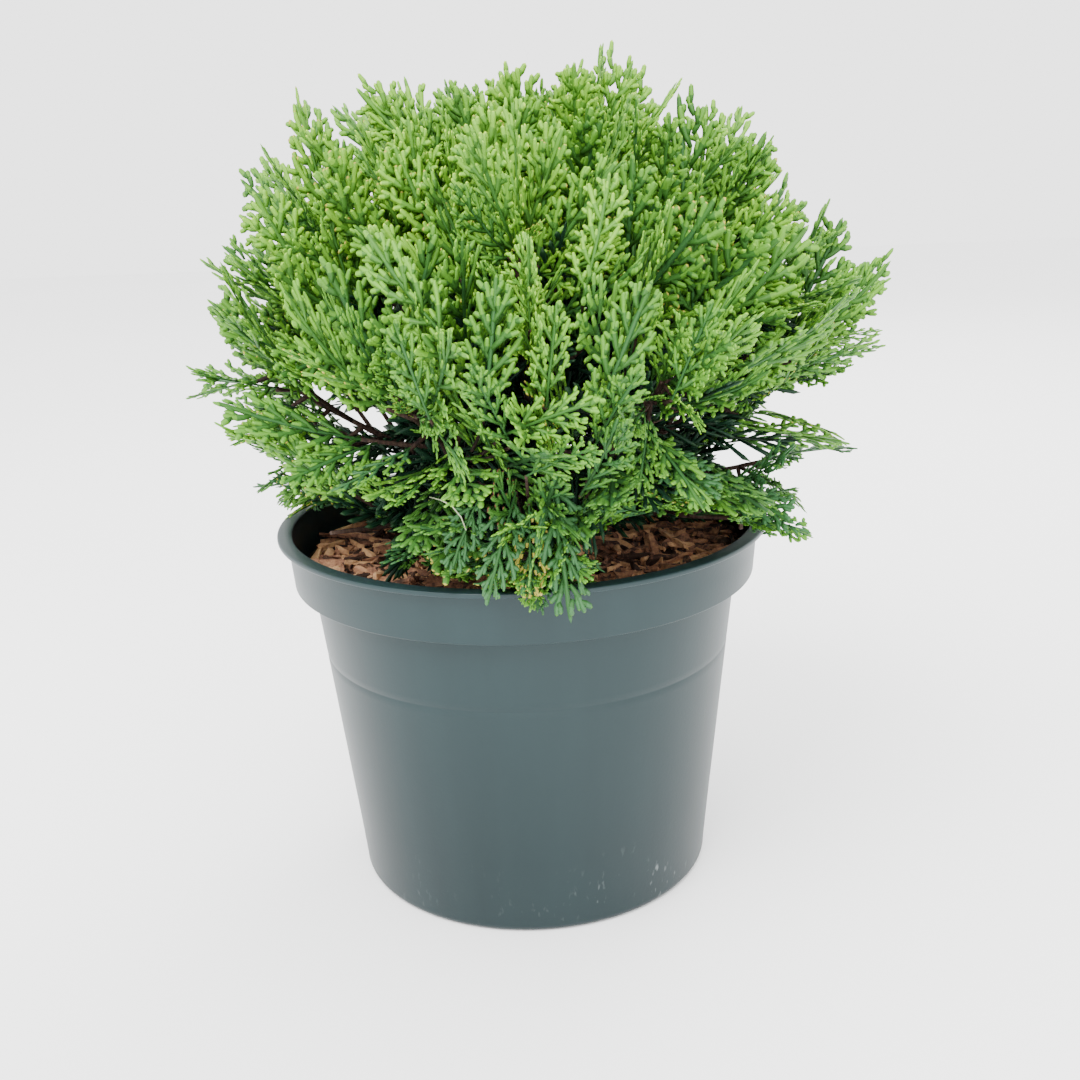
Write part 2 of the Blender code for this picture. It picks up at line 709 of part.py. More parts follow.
def make_mass(entry, plan, material):
    """Twigs that branch from one stem by the golden angle, each with a toothed spray at its end."""
    rng = np.random.default_rng(SEED + 17 * plan.index(entry))
    planes = cell_planes(entry, plan)
    path = stem_path(entry)
    name = f"foliage_{entry['name']}"
    mass = make_tube(name, path, np.linspace(*STEM_RADII, len(path)), 4, material)
    side, up = cross_frame(entry["axis"])
    bend = np.array((0.0, 0.0, SPRAY_BENDS[entry["ring"] > 0]))
    first_joint, last_joint = TWIG_JOINTS
    pieces = []
    taken = []
    for k in range(SPRAYS_PER_MASS):
        off_axis = math.radians(SPREAD_DEGREES) * math.sqrt((k + 0.4) / SPRAYS_PER_MASS)
        turn = k * GOLDEN_ANGLE + entry["azimuth"]
        out = entry["axis"] * math.cos(off_axis)
        out = out + (side * math.cos(turn) + up * math.sin(turn)) * math.sin(off_axis)
        distance = reach(unit(out)) * rng.uniform(*TIP_SHARES)
        joint = along_path(path, first_joint + (last_joint - first_joint) * k / (SPRAYS_PER_MASS - 1))
        tip = HEART + out * distance
        found = fitted_spray(rng, joint, tip, MAIN_SPRAY, entry["axis"], bend, planes, taken)
        if found is None:
            continue
        points, faces, middle = found
        pieces.append(add_spray(f"{name}_spray_{k}", points, faces))
        if k >= SIDE_SPRAYS_PER_MASS:
            continue
        from_point = middle[0] + (middle[1] - middle[0]) * SIDE_SPRAY_PLACE
        tip = side_tip(rng, unit(middle[1] - middle[0]), from_point)
        parent = taken[-1]
        found = fitted_spray(rng, from_point, tip, SIDE_SPRAY, entry["axis"], bend, planes, taken, parent)
        if found is not None:
            pieces.append(add_spray(f"{name}_side_spray_{k}", *found[:2]))
    join_by_union(mass, pieces, "MANIFOLD")
    keep_largest_shell(mass)
    return mass


def side_tip(rng, along, middle):
    """The tip of a shorter spray that leaves a twig on its way."""
    side, up = cross_frame(along)
    turn = rng.uniform(-math.pi, math.pi)
    lean = math.radians(SIDE_SPRAY_LEAN)
    out = along * math.cos(lean) + (side * math.cos(turn) + up * math.sin(turn)) * math.sin(lean)
    return middle + out * SIDE_SPRAY[0]


def add_spray(name, points, faces):
    spray = add_object(name, points, faces)
    face_outwards(spray)
    return spray


def main():
    clear_scene()
    make_pot(pot_plastic())
    make_soil(bark_mulch())
    bark = stem_bark()
    make_trunk(bark)
    green = spray_green()
    plan = crown_plan()
    for entry in plan:
        make_bough(entry, bark)
    for entry in plan:
        make_mass(entry, plan, green)


main()
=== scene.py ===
# %% [markdown]
# A young globe arborvitae in a round nursery pot. The solids of the pot, soil, trunk, boughs and
# foliage masses come in as a fixed frame. Each of them is dressed here by a finer surface that stays
# in the same place: a turned pot, a bed of bark chips, a trunk and boughs with fibrous bark, and
# twigs that carry flat sprays of scale leaves.

import math

import bpy
import numpy as np
from mathutils import Matrix


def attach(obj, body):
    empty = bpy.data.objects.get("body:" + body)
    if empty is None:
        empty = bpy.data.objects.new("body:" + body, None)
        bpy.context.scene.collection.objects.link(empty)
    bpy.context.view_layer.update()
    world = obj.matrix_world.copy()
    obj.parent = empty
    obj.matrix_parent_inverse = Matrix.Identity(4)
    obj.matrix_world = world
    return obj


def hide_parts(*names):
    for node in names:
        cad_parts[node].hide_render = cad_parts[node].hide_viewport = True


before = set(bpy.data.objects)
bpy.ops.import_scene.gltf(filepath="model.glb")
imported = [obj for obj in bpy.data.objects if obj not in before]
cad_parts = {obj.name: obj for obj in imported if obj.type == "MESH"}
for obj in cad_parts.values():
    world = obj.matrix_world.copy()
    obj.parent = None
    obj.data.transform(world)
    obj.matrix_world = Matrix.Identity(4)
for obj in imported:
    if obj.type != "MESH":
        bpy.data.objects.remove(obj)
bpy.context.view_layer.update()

# %% [markdown]
# The camera comes first, because everything is judged through it. A camera is a place, a direction
# and a lens. Its numbers were worked out from the ellipses of the rim and the base in the photograph:
# how flat they are gives the tilt, how much smaller the base looks gives the distance.

# %% Camera
UP = np.array((0.0, 0.0, 1.0))
IMAGE_SIDE = 1080.0
FOCAL_PIXELS = 1300.0
SENSOR_MM = 36.0
CAMERA_DISTANCE = 0.5145
CAMERA_PITCH = math.radians(16.8)
CAMERA_ROLL = math.radians(-2.2)
LOOK_AT = np.array((0.0066, 0.0, 0.1316))


def camera_axes():
    """Right, up and forward: forward drops by the pitch, and right and up turn about it by the roll."""
    forward = np.array((0.0, math.cos(CAMERA_PITCH), -math.sin(CAMERA_PITCH)))
    level = np.array((1.0, 0.0, 0.0))
    upright = np.cross(level, forward)
    right = math.cos(CAMERA_ROLL) * level + math.sin(CAMERA_ROLL) * upright
    return right, np.cross(right, forward), forward


VIEW_RIGHT, VIEW_UP, VIEW_FORWARD = camera_axes()
CAMERA_PLACE = LOOK_AT - VIEW_FORWARD * CAMERA_DISTANCE
camera_data = bpy.data.cameras.new("camera")
camera_data.lens = SENSOR_MM * FOCAL_PIXELS / IMAGE_SIDE
camera_data.sensor_width = SENSOR_MM
camera_data.clip_start = 0.01
camera = bpy.data.objects.new("camera", camera_data)
columns = np.column_stack([VIEW_RIGHT, VIEW_UP, -VIEW_FORWARD])
camera.matrix_world = Matrix.Translation(CAMERA_PLACE.tolist()) @ Matrix(columns.tolist()).to_4x4()
bpy.context.scene.collection.objects.link(camera)
bpy.context.scene.camera = camera
print("camera stands at", np.round(CAMERA_PLACE, 3), "with a lens of", round(camera_data.lens, 1), "mm")

# %% [markdown]
# Every surface below is worked out as whole arrays of points, and one helper turns points and
# triangles into a mesh. Another makes the triangles of a grid, and a third sweeps rings along paths.
# Whole arrays are quick even for a million faces, where a loop over vertices would take minutes.

# %% Helpers for meshes
def add_piece(name, points, triangles, materials, material_index=None, smooth=True):
    """A mesh object from arrays: points (n, 3), triangles (m, 3), and one material number a face."""
    points = np.ascontiguousarray(points, np.float32).reshape(-1, 3)
    triangles = np.ascontiguousarray(triangles, np.int32).reshape(-1, 3)
    mesh = bpy.data.meshes.new(name)
    mesh.vertices.add(len(points))
    mesh.vertices.foreach_set("co", points.ravel())
    mesh.loops.add(triangles.size)
    mesh.loops.foreach_set("vertex_index", triangles.ravel())
    mesh.polygons.add(len(triangles))
    mesh.polygons.foreach_set("loop_start", np.arange(0, triangles.size, 3, dtype=np.int32))
    if material_index is not None:
        mesh.polygons.foreach_set("material_index", np.asarray(material_index, np.int32))
    mesh.polygons.foreach_set("use_smooth", np.full(len(triangles), smooth))
    mesh.update(calc_edges=True)
    mesh.validate()
    for material in materials:
        mesh.materials.append(material)
    piece = bpy.data.objects.new(name, mesh)
    bpy.context.scene.collection.objects.link(piece)
    print(f"{name}: {len(points)} points, {len(triangles)} triangles")
    return piece


def grid_triangles(rows, columns, wrap=False):
    """Two triangles for each cell of a grid of points; with wrap, the last column meets the first."""
    row, column = np.meshgrid(np.arange(rows - 1), np.arange(columns if wrap else columns - 1), indexing="ij")
    here = row * columns + column
    right = row * columns + (column + 1) % columns
    quads = np.stack([here, right, right + columns, here + columns], axis=-1).reshape(-1, 4)
    return np.concatenate([quads[:, [0, 1, 2]], quads[:, [0, 2, 3]]])


def unit(vectors):
    vectors = np.asarray(vectors, float)
    return vectors / np.linalg.norm(vectors, axis=-1, keepdims=True)


def waves(places, scale, seed, count=6):
    """A smooth pattern between about -1 and 1: the mean of a few sine waves in seeded directions."""
    rng = np.random.default_rng(seed)
    directions = unit(rng.normal(size=(count, 3))) * scale * rng.uniform(0.6, 1.6, (count, 1))
    phases = rng.uniform(0, 2 * math.pi, count)
    return np.sin(np.asarray(places) @ directions.T + phases).sum(axis=-1) / math.sqrt(count)


# %% [markdown]
# Shader maths reads better as sums than as boxes and wires. The class below wraps a node's output, so
# that mask * 0.5 + 0.1 adds its Math nodes by itself. Any other node comes from one method that
# takes its type, its inputs and its settings, and the usual ones have short methods of their own.

# %% Helpers for materials
class Value:
    """A shader socket that can be added and multiplied."""

    def __init__(self, finish, socket):
        self.finish = finish
        self.socket = socket

    def math(self, operation, other):
        return self.finish.node("ShaderNodeMath", {0: self, 1: other}, operation=operation)

    def __add__(self, other):
        return self.math("ADD", other)

    __radd__ = __add__

    def __mul__(self, other):
        return self.math("MULTIPLY", other)


class Finish:
    """A material with one Principled shader, and methods that add nodes to it."""

    def __init__(self, name, color, roughness, **constants):
        self.material = bpy.data.materials.new(name)
        self.material.use_nodes = True
        self.tree = self.material.node_tree
        self.shader = self.tree.nodes["Principled BSDF"]
        self.shader.inputs["Base Color"].default_value = (*color, 1.0)
        self.shader.inputs["Roughness"].default_value = roughness
        for socket, value in constants.items():
            self.shader.inputs[socket.replace("_", " ")].default_value = value
        self.material.diffuse_color = (*color, 1.0)

    def node(self, kind, inputs, output=0, **settings):
        """A node of any kind: its settings are set first, then the values or links of its sockets."""
        made = self.tree.nodes.new(kind)
        for key, value in settings.items():
            setattr(made, key, value)
        for key, value in inputs.items():
            if isinstance(value, Value):
                self.tree.links.new(value.socket, made.inputs[key])
            else:
                made.inputs[key].default_value = value
        return Value(self, made.outputs[output])

    def places(self):
        return self.node("ShaderNodeTexCoord", {}, "Object")

    def axis(self, places, name):
        return self.node("ShaderNodeSeparateXYZ", {"Vector": places}, name)

    def noise(self, places, scale, detail=3.0, roughness=0.5):
        inputs = {"Vector": places, "Scale": scale, "Detail": detail, "Roughness": roughness}
        return self.node("ShaderNodeTexNoise", inputs, "Fac")

    def stretched(self, places, scale):
        return self.node("ShaderNodeMapping", {"Vector": places, "Scale": scale})

    def step(self, value, low, high):
        """0 up to `low`, 1 from `high` on, and even between them."""
        return self.node("ShaderNodeMapRange", {"Value": value, "From Min": low, "From Max": high})

    def ramp(self, factor, stops):
        """Colours along a factor; each stop is a place and a colour."""
        color = self.node("ShaderNodeValToRGB", {"Fac": factor}, "Color")
        elements = color.socket.node.color_ramp.elements
        while len(elements) < len(stops):
            elements.new(0.5)
        for element, (place, shade) in zip(elements, stops):
            element.position = place
            element.color = (*shade, 1.0)
        return color

    def mixed(self, factor, first, second):
        """Two colours mixed by a factor."""
        return self.node("ShaderNodeMix", {"Factor": factor, 6: first, 7: second}, 2, data_type="RGBA")

    def bump(self, height, strength, distance):
        inputs = {"Height": height, "Strength": strength, "Distance": distance}
        return self.node("ShaderNodeBump", inputs, "Normal")

    def feed(self, socket, value):
        self.tree.links.new(value.socket, self.shader.inputs[socket])


# %% [markdown]
# The pot is injection-moulded plastic. It was drawn as a turned profile, so it is one here: a line
# of radius and height, carried round the axis. The solid has 36 flat sides, which would show in the
# outline, so the finer pot has 288 and rounds its lip, the foot of its collar and its base edge.

# %% Pot shape
POT_HEIGHT = 0.1425
RIM_RADIUS = 0.095
LIP_THICKNESS = 0.0018
COLLAR_TOP_RADIUS = 0.0910
COLLAR_FOOT_RADIUS = 0.0898
COLLAR_HEIGHT = 0.0202
COLLAR_STEP = 0.0022
BODY_TOP_RADIUS = 0.0826
BASE_RADIUS = 0.0705
BASE_ROUNDING = 0.003
WALL = 0.0016
FLOOR_THICKNESS = 0.0024
STACK_LINE_HEIGHT = 0.0935
STACK_LINE_STEP = 0.00022
POT_SEGMENTS = 288


def arc(centre, radius, start, end, count=5):
    """Points of a circle's arc, between two angles in degrees, in the profile's plane."""
    turns = np.radians(np.linspace(start, end, count))
    return [(centre[0] + radius * math.cos(t), centre[1] + radius * math.sin(t)) for t in turns]


def pot_profile():
    """Radius and height of the wall: over the lip, down the outside, under the base and up the inside."""
    foot = POT_HEIGHT - COLLAR_HEIGHT
    lip_low = POT_HEIGHT - LIP_THICKNESS
    lip = 0.0006
    inner_lip = COLLAR_TOP_RADIUS - WALL
    line = STACK_LINE_HEIGHT
    line_radius = np.interp(line, (BASE_ROUNDING, foot - COLLAR_STEP), (BASE_RADIUS, BODY_TOP_RADIUS))
    rows = arc((inner_lip + lip, POT_HEIGHT - lip), lip, 180, 90)
    rows += arc((RIM_RADIUS - lip, POT_HEIGHT - lip), lip, 90, 0)
    rows += arc((RIM_RADIUS - lip, lip_low + lip), lip, 0, -90)
    rows += arc((COLLAR_TOP_RADIUS + lip, lip_low - lip), lip, 90, 180)
    rows += [(COLLAR_TOP_RADIUS - 0.0004, foot + 0.5 * COLLAR_HEIGHT)]
    rows += arc((COLLAR_FOOT_RADIUS - lip, foot + lip), lip, 0, -80)
    rows += arc((BODY_TOP_RADIUS + 2 * lip, foot - COLLAR_STEP - lip), 2 * lip, 100, 180)
    slope = (BODY_TOP_RADIUS - BASE_RADIUS) / (foot - COLLAR_STEP - BASE_ROUNDING)
    rows += [
        (BODY_TOP_RADIUS - 0.0018 * slope, foot - COLLAR_STEP - 0.0030),
        (line_radius + 0.0030 * slope, line + 0.0030),
        (line_radius, line + 0.0006),
        (line_radius - STACK_LINE_STEP, line + 0.0002),
        (line_radius - STACK_LINE_STEP, line - 0.0002),
        (line_radius - 0.0008 * slope, line - 0.0008),
        (line_radius - 0.0030 * slope, line - 0.0030),
    ]
    rows += [(BASE_RADIUS + 0.0021, 0.025), (BASE_RADIUS + 0.0004, 0.008)]
    rows += arc((BASE_RADIUS - BASE_ROUNDING, BASE_ROUNDING), BASE_ROUNDING, 0, -90, 8)
    rows += [(0.060, 0.0), (0.030, 0.0), (0.0, 0.0), (0.0, FLOOR_THICKNESS), (0.040, FLOOR_THICKNESS)]
    inner_base = BASE_RADIUS - WALL
    rows += arc((inner_base - BASE_ROUNDING, FLOOR_THICKNESS + BASE_ROUNDING), BASE_ROUNDING, -90, 0)
    rows += [(BODY_TOP_RADIUS - WALL, foot - COLLAR_STEP + WALL), (COLLAR_FOOT_RADIUS - WALL, foot + WALL)]
    rows += [(inner_lip - 0.0002, POT_HEIGHT - 0.004)]
    return np.array(rows)


def turned_surface(profile, segments):
    """A closed profile carried round Z: (radius cos a, radius sin a, height) for each angle a."""
    angles = 2 * math.pi * np.arange(segments) / segments
    radius, height = profile[:, 0, None], profile[:, 1, None]
    points = np.stack([radius * np.cos(angles), radius * np.sin(angles), height + 0 * angles], axis=-1)
    count = len(profile)
    triangles = grid_triangles(count + 1, segments, wrap=True)
    triangles = np.where(triangles >= count * segments, triangles - count * segments, triangles)
    return points.reshape(-1, 3), triangles


def without_doubles(points, triangles, step=1e-6):
    """Points that coincide made one, and the triangles that collapsed dropped."""
    _, first, index = np.unique(np.round(points / step), axis=0, return_index=True, return_inverse=True)
    triangles = index.reshape(-1)[triangles]
    a, b, c = triangles.T
    return points[first], triangles[(a != b) & (b != c) & (c != a)]


def outward(points, triangles):
    """Triangles turned so that the closed surface's volume is positive."""
    corners = points[triangles]
    volume = np.einsum("ij,ij->i", corners[:, 0], np.cross(corners[:, 1], corners[:, 2])).sum()
    return triangles if volume > 0 else triangles[:, ::-1]


# %% [markdown]
# The plastic is a slate grey-blue with a satin gloss. Up close it is not even: faint upright flow
# marks and a film of dust soften the shine, and pale scuffs sit low on the right, where pots rub on a
# shelf. All of it is a function of the place.
# Its colour is also painted paler up the wall and darker towards the base: painted light and shade.

# %% Pot finish
SLATE = (0.0030, 0.0085, 0.0100)
SLATE_PALE_AND_LIT = (0.0160, 0.0335, 0.0360)
DUST = (0.22, 0.25, 0.25)


def slate_plastic():
    finish = Finish("slate_plastic", SLATE, 0.36, Specular_IOR_Level=0.24)
    places = finish.places()
    broad = finish.noise(places, 9.0, 2.0)
    streaks = finish.noise(finish.stretched(places, (60.0, 60.0, 5.0)), 1.0, 4.0)
    # Painted light and shade: the slate grows paler from 3 cm up to 13 cm, so the base is painted darker.
    lit = finish.step(finish.axis(places, "Z"), 0.03, 0.13)
    color = finish.mixed(broad * 0.3 + streaks * 0.3 + lit * 0.4, (*SLATE, 1.0), (*SLATE_PALE_AND_LIT, 1.0))
    scuffs = scuff_mask(finish, places)
    finish.feed("Base Color", finish.mixed(scuffs, color, (*DUST, 1.0)))
    finish.feed("Roughness", 0.30 + broad * 0.10 + streaks * 0.06 + scuffs * 0.4)
    grain = finish.noise(places, 900.0, 3.0, 0.6)
    finish.feed("Normal", finish.bump(grain + streaks * 0.6, 0.10, 0.0003))
    return finish.material


def scuff_mask(finish, places):
    """Short pale scratches, thick low on the right front and thin elsewhere near the base."""
    fleck_grain = finish.noise(finish.stretched(places, (420.0, 420.0, 170.0)), 1.0, 2.0, 0.6)
    flecks = finish.step(fleck_grain, 0.60, 0.72)
    low = finish.step(finish.axis(places, "Z"), 0.034, 0.002)
    right = finish.step(finish.axis(places, "X"), 0.012, 0.045)
    patchy = finish.step(finish.noise(places, 55.0, 2.0), 0.45, 0.62)
    return flecks * low * (right * 0.75 + 0.12) * patchy


POT_PLASTIC = slate_plastic()
pot_points, pot_triangles = without_doubles(*turned_surface(pot_profile(), POT_SEGMENTS))
pot_piece = add_piece("turned_pot", pot_points, outward(pot_points, pot_triangles), [POT_PLASTIC])
pot_piece.data.set_sharp_from_angle(angle=math.radians(50))
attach(pot_piece, "root")
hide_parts("pot")

# %% [markdown]
# The rule by which the plant grows is the one that the solids were built by: each mass has a direction
# from the heart of the plant, and a reach that depends on how steeply it rises. Here the same rule
# is carried on to finer twigs, so the sprays fill the room that the solids held.

# %% The plant's rule
SOIL_LEVEL = 0.1275
TRUNK_PAD_RADIUS = 0.014
TRUNK_FOOT = (0.001, 0.0)
TRUNK_LEAN = (0.006, 0.001)
TRUNK_TOP = 0.192
TRUNK_RADII = ((0.0, 0.0092), (0.08, 0.0076), (0.22, 0.0064), (0.5, 0.0052), (0.8, 0.0034), (1.0, 0.0022))
HEART = np.array((0.004, 0.0, 0.147))
HOLLOW_RADIUS = 0.052
RINGS = (
    # boughs, rise of the mass in degrees, first azimuth, height where the bough leaves the trunk
    (7, 4.0, -90.0, 0.1400),
    (7, 29.0, -64.0, 0.1545),
    (5, 54.0, -90.0, 0.1690),
    (3, 77.0, -30.0, 0.1840),
)
REACH_BY_RISE = (
    # rise in degrees, distance from the heart to the tips of the sprays: left, front and back, right
    (-20.0, 0.100, 0.104, 0.107),
    (0.0, 0.109, 0.113, 0.117),
    (10.0, 0.117, 0.127, 0.130),
    (20.0, 0.137, 0.146, 0.147),
    (32.0, 0.150, 0.157, 0.160),
    (45.0, 0.152, 0.158, 0.161),
    (53.0, 0.163, 0.163, 0.159),
    (63.0, 0.171, 0.169, 0.167),
    (78.0, 0.165, 0.166, 0.167),
    (90.0, 0.165, 0.165, 0.165),
)
BOUGH_RADII = (0.0021, 0.0013)
STAGGER = 0.0022
STEM_LENGTH = 0.62
GOLDEN_ANGLE = math.radians(137.5)


def direction(rise, azimuth):
    """The unit vector that rises by `rise` degrees towards `azimuth` degrees, counted from +X."""
    rise, azimuth = math.radians(rise), math.radians(azimuth)
    return np.array((math.cos(rise) * math.cos(azimuth), math.cos(rise) * math.sin(azimuth), math.sin(rise)))


def crown_plan():
    """One entry for each bough and its mass, as in the solids."""
    plan = []
    for ring, (count, rise, first, height) in enumerate(RINGS):
        for k in range(count):
            azimuth = first + 360.0 * k / count
            plan.append({
                "name": f"{ring + 1}{'abcdefg'[k]}",
                "ring": ring,
                "axis": direction(rise, azimuth),
                "azimuth": azimuth,
                "start": height + (STAGGER if k % 2 else -STAGGER) * (ring > 0),
            })
    return plan


def rise_of(out):
    """How steeply unit vectors rise, in degrees."""
    return np.degrees(np.arcsin(np.clip(out[..., 2], -1.0, 1.0)))


def reach(out):
    """The distance from the heart to the tips in one direction or many, by rise and by side."""
    rises, *columns = np.array(REACH_BY_RISE).T
    left, middle, right = (np.interp(rise_of(out), rises, column) for column in columns)
    to_the_right = out[..., 0] / np.maximum(np.hypot(out[..., 0], out[..., 1]), 1e-9)
    side = np.where(to_the_right < 0, left, right)
    return middle + (side - middle) * np.abs(to_the_right)


PLAN = crown_plan()
print(len(PLAN), "boughs and masses in", len(RINGS), "rings")

# %% [markdown]
# Trunk and boughs are tubes whose radius changes along and around. Bark on a young arborvitae is
# thin and splits into upright fibres, so each tube gets long low ridges that wander a little, and
# small knots. A profile carried along a curved path does this for trunk and boughs alike.

# %% Trunk and boughs
TUBE_HINT = np.array((0.31, 0.95, 0.05))
LEAVING_SLOPE = 0.25  # with which a bough leaves the trunk
SUNK_SHARE = 0.7  # of the trunk's radius, where a bough's path begins
CURVE_HOLD = 0.35  # of a bough's length, on which each end keeps its direction
ROOT_SWELL = 0.35
TOP_BOUGHS_THINNER = 0.8


def tube(path, radii, sides, swell=1.0):
    """A tube round a path: centre + radius swell (cos a side + sin a up), closed at both ends."""
    path = np.asarray(path, float)
    along = unit(np.gradient(path, axis=0))
    side = unit(np.cross(along, TUBE_HINT))
    up = np.cross(side, along)
    angles = 2 * math.pi * np.arange(sides)[None, :, None] / sides
    ring = np.cos(angles) * side[:, None] + np.sin(angles) * up[:, None]
    radius = np.asarray(radii)[:, None] * swell
    return closed_tube(path[:, None] + radius[..., None] * ring)


def ridged_tube(path, radii, sides, ridge, seed):
    """A tube whose ridges are sine waves round it, with a phase that drifts along it, and small knots."""
    rng = np.random.default_rng(seed)
    angles = 2 * math.pi * np.arange(sides) / sides
    travel = np.concatenate([[0], np.cumsum(np.linalg.norm(np.diff(path, axis=0), axis=1))])[:, None]
    relief = 0.0
    for count, share in ((5, 0.5), (9, 0.7), (14, 0.5)):
        drift = rng.uniform(60, 160)
        wander = 1.4 * np.sin(travel * drift + rng.uniform(0, 6)) + 0.8 * np.sin(travel * drift * 2.3)
        relief = relief + share * np.sin(count * angles + wander + rng.uniform(0, 6))
    knots = np.sin(travel * rng.uniform(250, 420) + rng.uniform(0, 6)) ** 6
    return tube(path, radii, sides, 1 + ridge * relief + ridge * 0.6 * knots)


def closed_tube(points):
    """Triangles of a tube given as rings of points, with a middle point at each end."""
    rings, sides = points.shape[:2]
    triangles = grid_triangles(rings, sides, wrap=True)
    first, last = rings * sides, rings * sides + 1
    around = np.arange(sides)
    following = (around + 1) % sides
    start = np.stack([np.full(sides, first), following, around], axis=1)
    to_end = (rings - 1) * sides
    end = np.stack([np.full(sides, last), around + to_end, following + to_end], axis=1)
    whole = np.concatenate([points.reshape(-1, 3), [points[0].mean(axis=0)], [points[-1].mean(axis=0)]])
    return whole, outward(whole, np.concatenate([triangles, start, end]))


def joined(parts):
    """Several (points, triangles) made one."""
    offset = 0
    all_points, all_triangles = [], []
    for points, triangles in parts:
        all_points.append(points)
        all_triangles.append(triangles + offset)
        offset += len(points)
    return np.concatenate(all_points), np.concatenate(all_triangles)


def trunk_middle(height):
    share = (height - SOIL_LEVEL) / (TRUNK_TOP - SOIL_LEVEL)
    x = TRUNK_FOOT[0] + (TRUNK_LEAN[0] - TRUNK_FOOT[0]) * share
    y = TRUNK_FOOT[1] + (TRUNK_LEAN[1] - TRUNK_FOOT[1]) * share
    return np.stack([x, y, height], axis=-1)


def trunk_radius(height):
    share = (height - SOIL_LEVEL) / (TRUNK_TOP - SOIL_LEVEL)
    return np.interp(share, [row[0] for row in TRUNK_RADII], [row[1] for row in TRUNK_RADII])


def bough_path(entry, count=26):
    """The bough's middle line: a cubic curve that leaves the trunk nearly level and ends along its mass."""
    outwards = direction(0.0, entry["azimuth"])
    height = entry["start"]
    leave = unit(outwards + UP * LEAVING_SLOPE)
    start = trunk_middle(height) + outwards * trunk_radius(height) * SUNK_SHARE
    tip = HEART + entry["axis"] * (HOLLOW_RADIUS + 0.0005)
    length = np.linalg.norm(tip - start)
    share = np.linspace(0.0, 1.0, count)[:, None]
    second = start + leave * length * CURVE_HOLD
    third = tip - entry["axis"] * length * CURVE_HOLD
    return (
        start * (1 - share) ** 3
        + 3 * second * share * (1 - share) ** 2
        + 3 * third * share**2 * (1 - share)
        + tip * share**3
    )


def bark_skin():
    """The trunk and all boughs as one mesh, the boughs' roots sunk in the trunk."""
    heights = np.linspace(SOIL_LEVEL - 0.002, TRUNK_TOP, 90)
    parts = [ridged_tube(trunk_middle(heights), trunk_radius(heights), 60, 0.045, 3)]
    for index, entry in enumerate(PLAN):
        path = bough_path(entry)
        radii = np.linspace(*BOUGH_RADII, len(path))
        if entry["ring"] == len(RINGS) - 1:
            radii = radii * TOP_BOUGHS_THINNER
        radii = radii * (1 + ROOT_SWELL * np.exp(-np.arange(len(path)) / 2.0))
        parts.append(ridged_tube(path, radii, 20, 0.05, 20 + index))
    return joined(parts)


BARK_DEEP = (0.007, 0.004, 0.003)
BARK_RED = (0.030, 0.015, 0.010)
BARK_GREY = (0.060, 0.041, 0.030)


def fibrous_bark():
    finish = Finish("fibrous_bark", BARK_RED, 0.85, Specular_IOR_Level=0.2)
    places = finish.places()
    fibres = finish.noise(finish.stretched(places, (900.0, 900.0, 110.0)), 1.0, 4.0, 0.65)
    blotches = finish.noise(places, 120.0, 3.0)
    stops = ((0.36, BARK_DEEP), (0.52, BARK_RED), (0.68, BARK_GREY))
    color = finish.ramp(fibres * 0.7 + blotches * 0.3, stops)
    finish.feed("Base Color", color)
    finish.feed("Roughness", 0.7 + fibres * 0.25)
    finish.feed("Normal", finish.bump(fibres, 0.5, 0.0006))
    return finish.material


STEM_BARK = fibrous_bark()
bark_piece = add_piece("trunk_and_boughs_bark", *bark_skin(), [STEM_BARK])
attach(bark_piece, "root")
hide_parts("trunk", *(f"bough_{entry['name']}" for entry in PLAN))

# %% [markdown]
# An arborvitae's foliage is not leaves on twigs but flat sprays: a rib with side branchlets to left and
# right in turn, each with shorter ones, and all of them covered in overlapping scales that swell and
# narrow. So a branchlet here is a flattened rod whose width follows its scales, and a spray is a few
# dozen of them laid in one plane. A handful of different sprays is drawn once, and each is
# then bent, turned and sized anew wherever one grows.

# %% One branchlet
SCALE_PROFILES = {
    # share of the length, share of the half width: scales swell and narrow, and the end is blunt
    "rib": ((0.0, 0.50), (0.40, 0.62), (0.70, 0.82), (0.78, 0.66), (0.90, 0.95), (0.975, 0.60)),
    "side": ((0.0, 0.55), (0.27, 0.84), (0.52, 1.0), (0.62, 0.74), (0.84, 1.0), (0.97, 0.58)),
    "short": ((0.0, 0.66), (0.46, 1.0), (0.88, 0.76)),
    "plain": ((0.0, 0.60), (0.80, 0.95)),
}
COLOR_STEPS = {"rib": (0.72, 0.94), "side": (0.52, 0.91), "short": (0.35, 0.84), "plain": (0.30, 0.90)}
THICKNESS_SHARE = 0.42
OLD, MIDDLE, YOUNG, TIP = range(4)


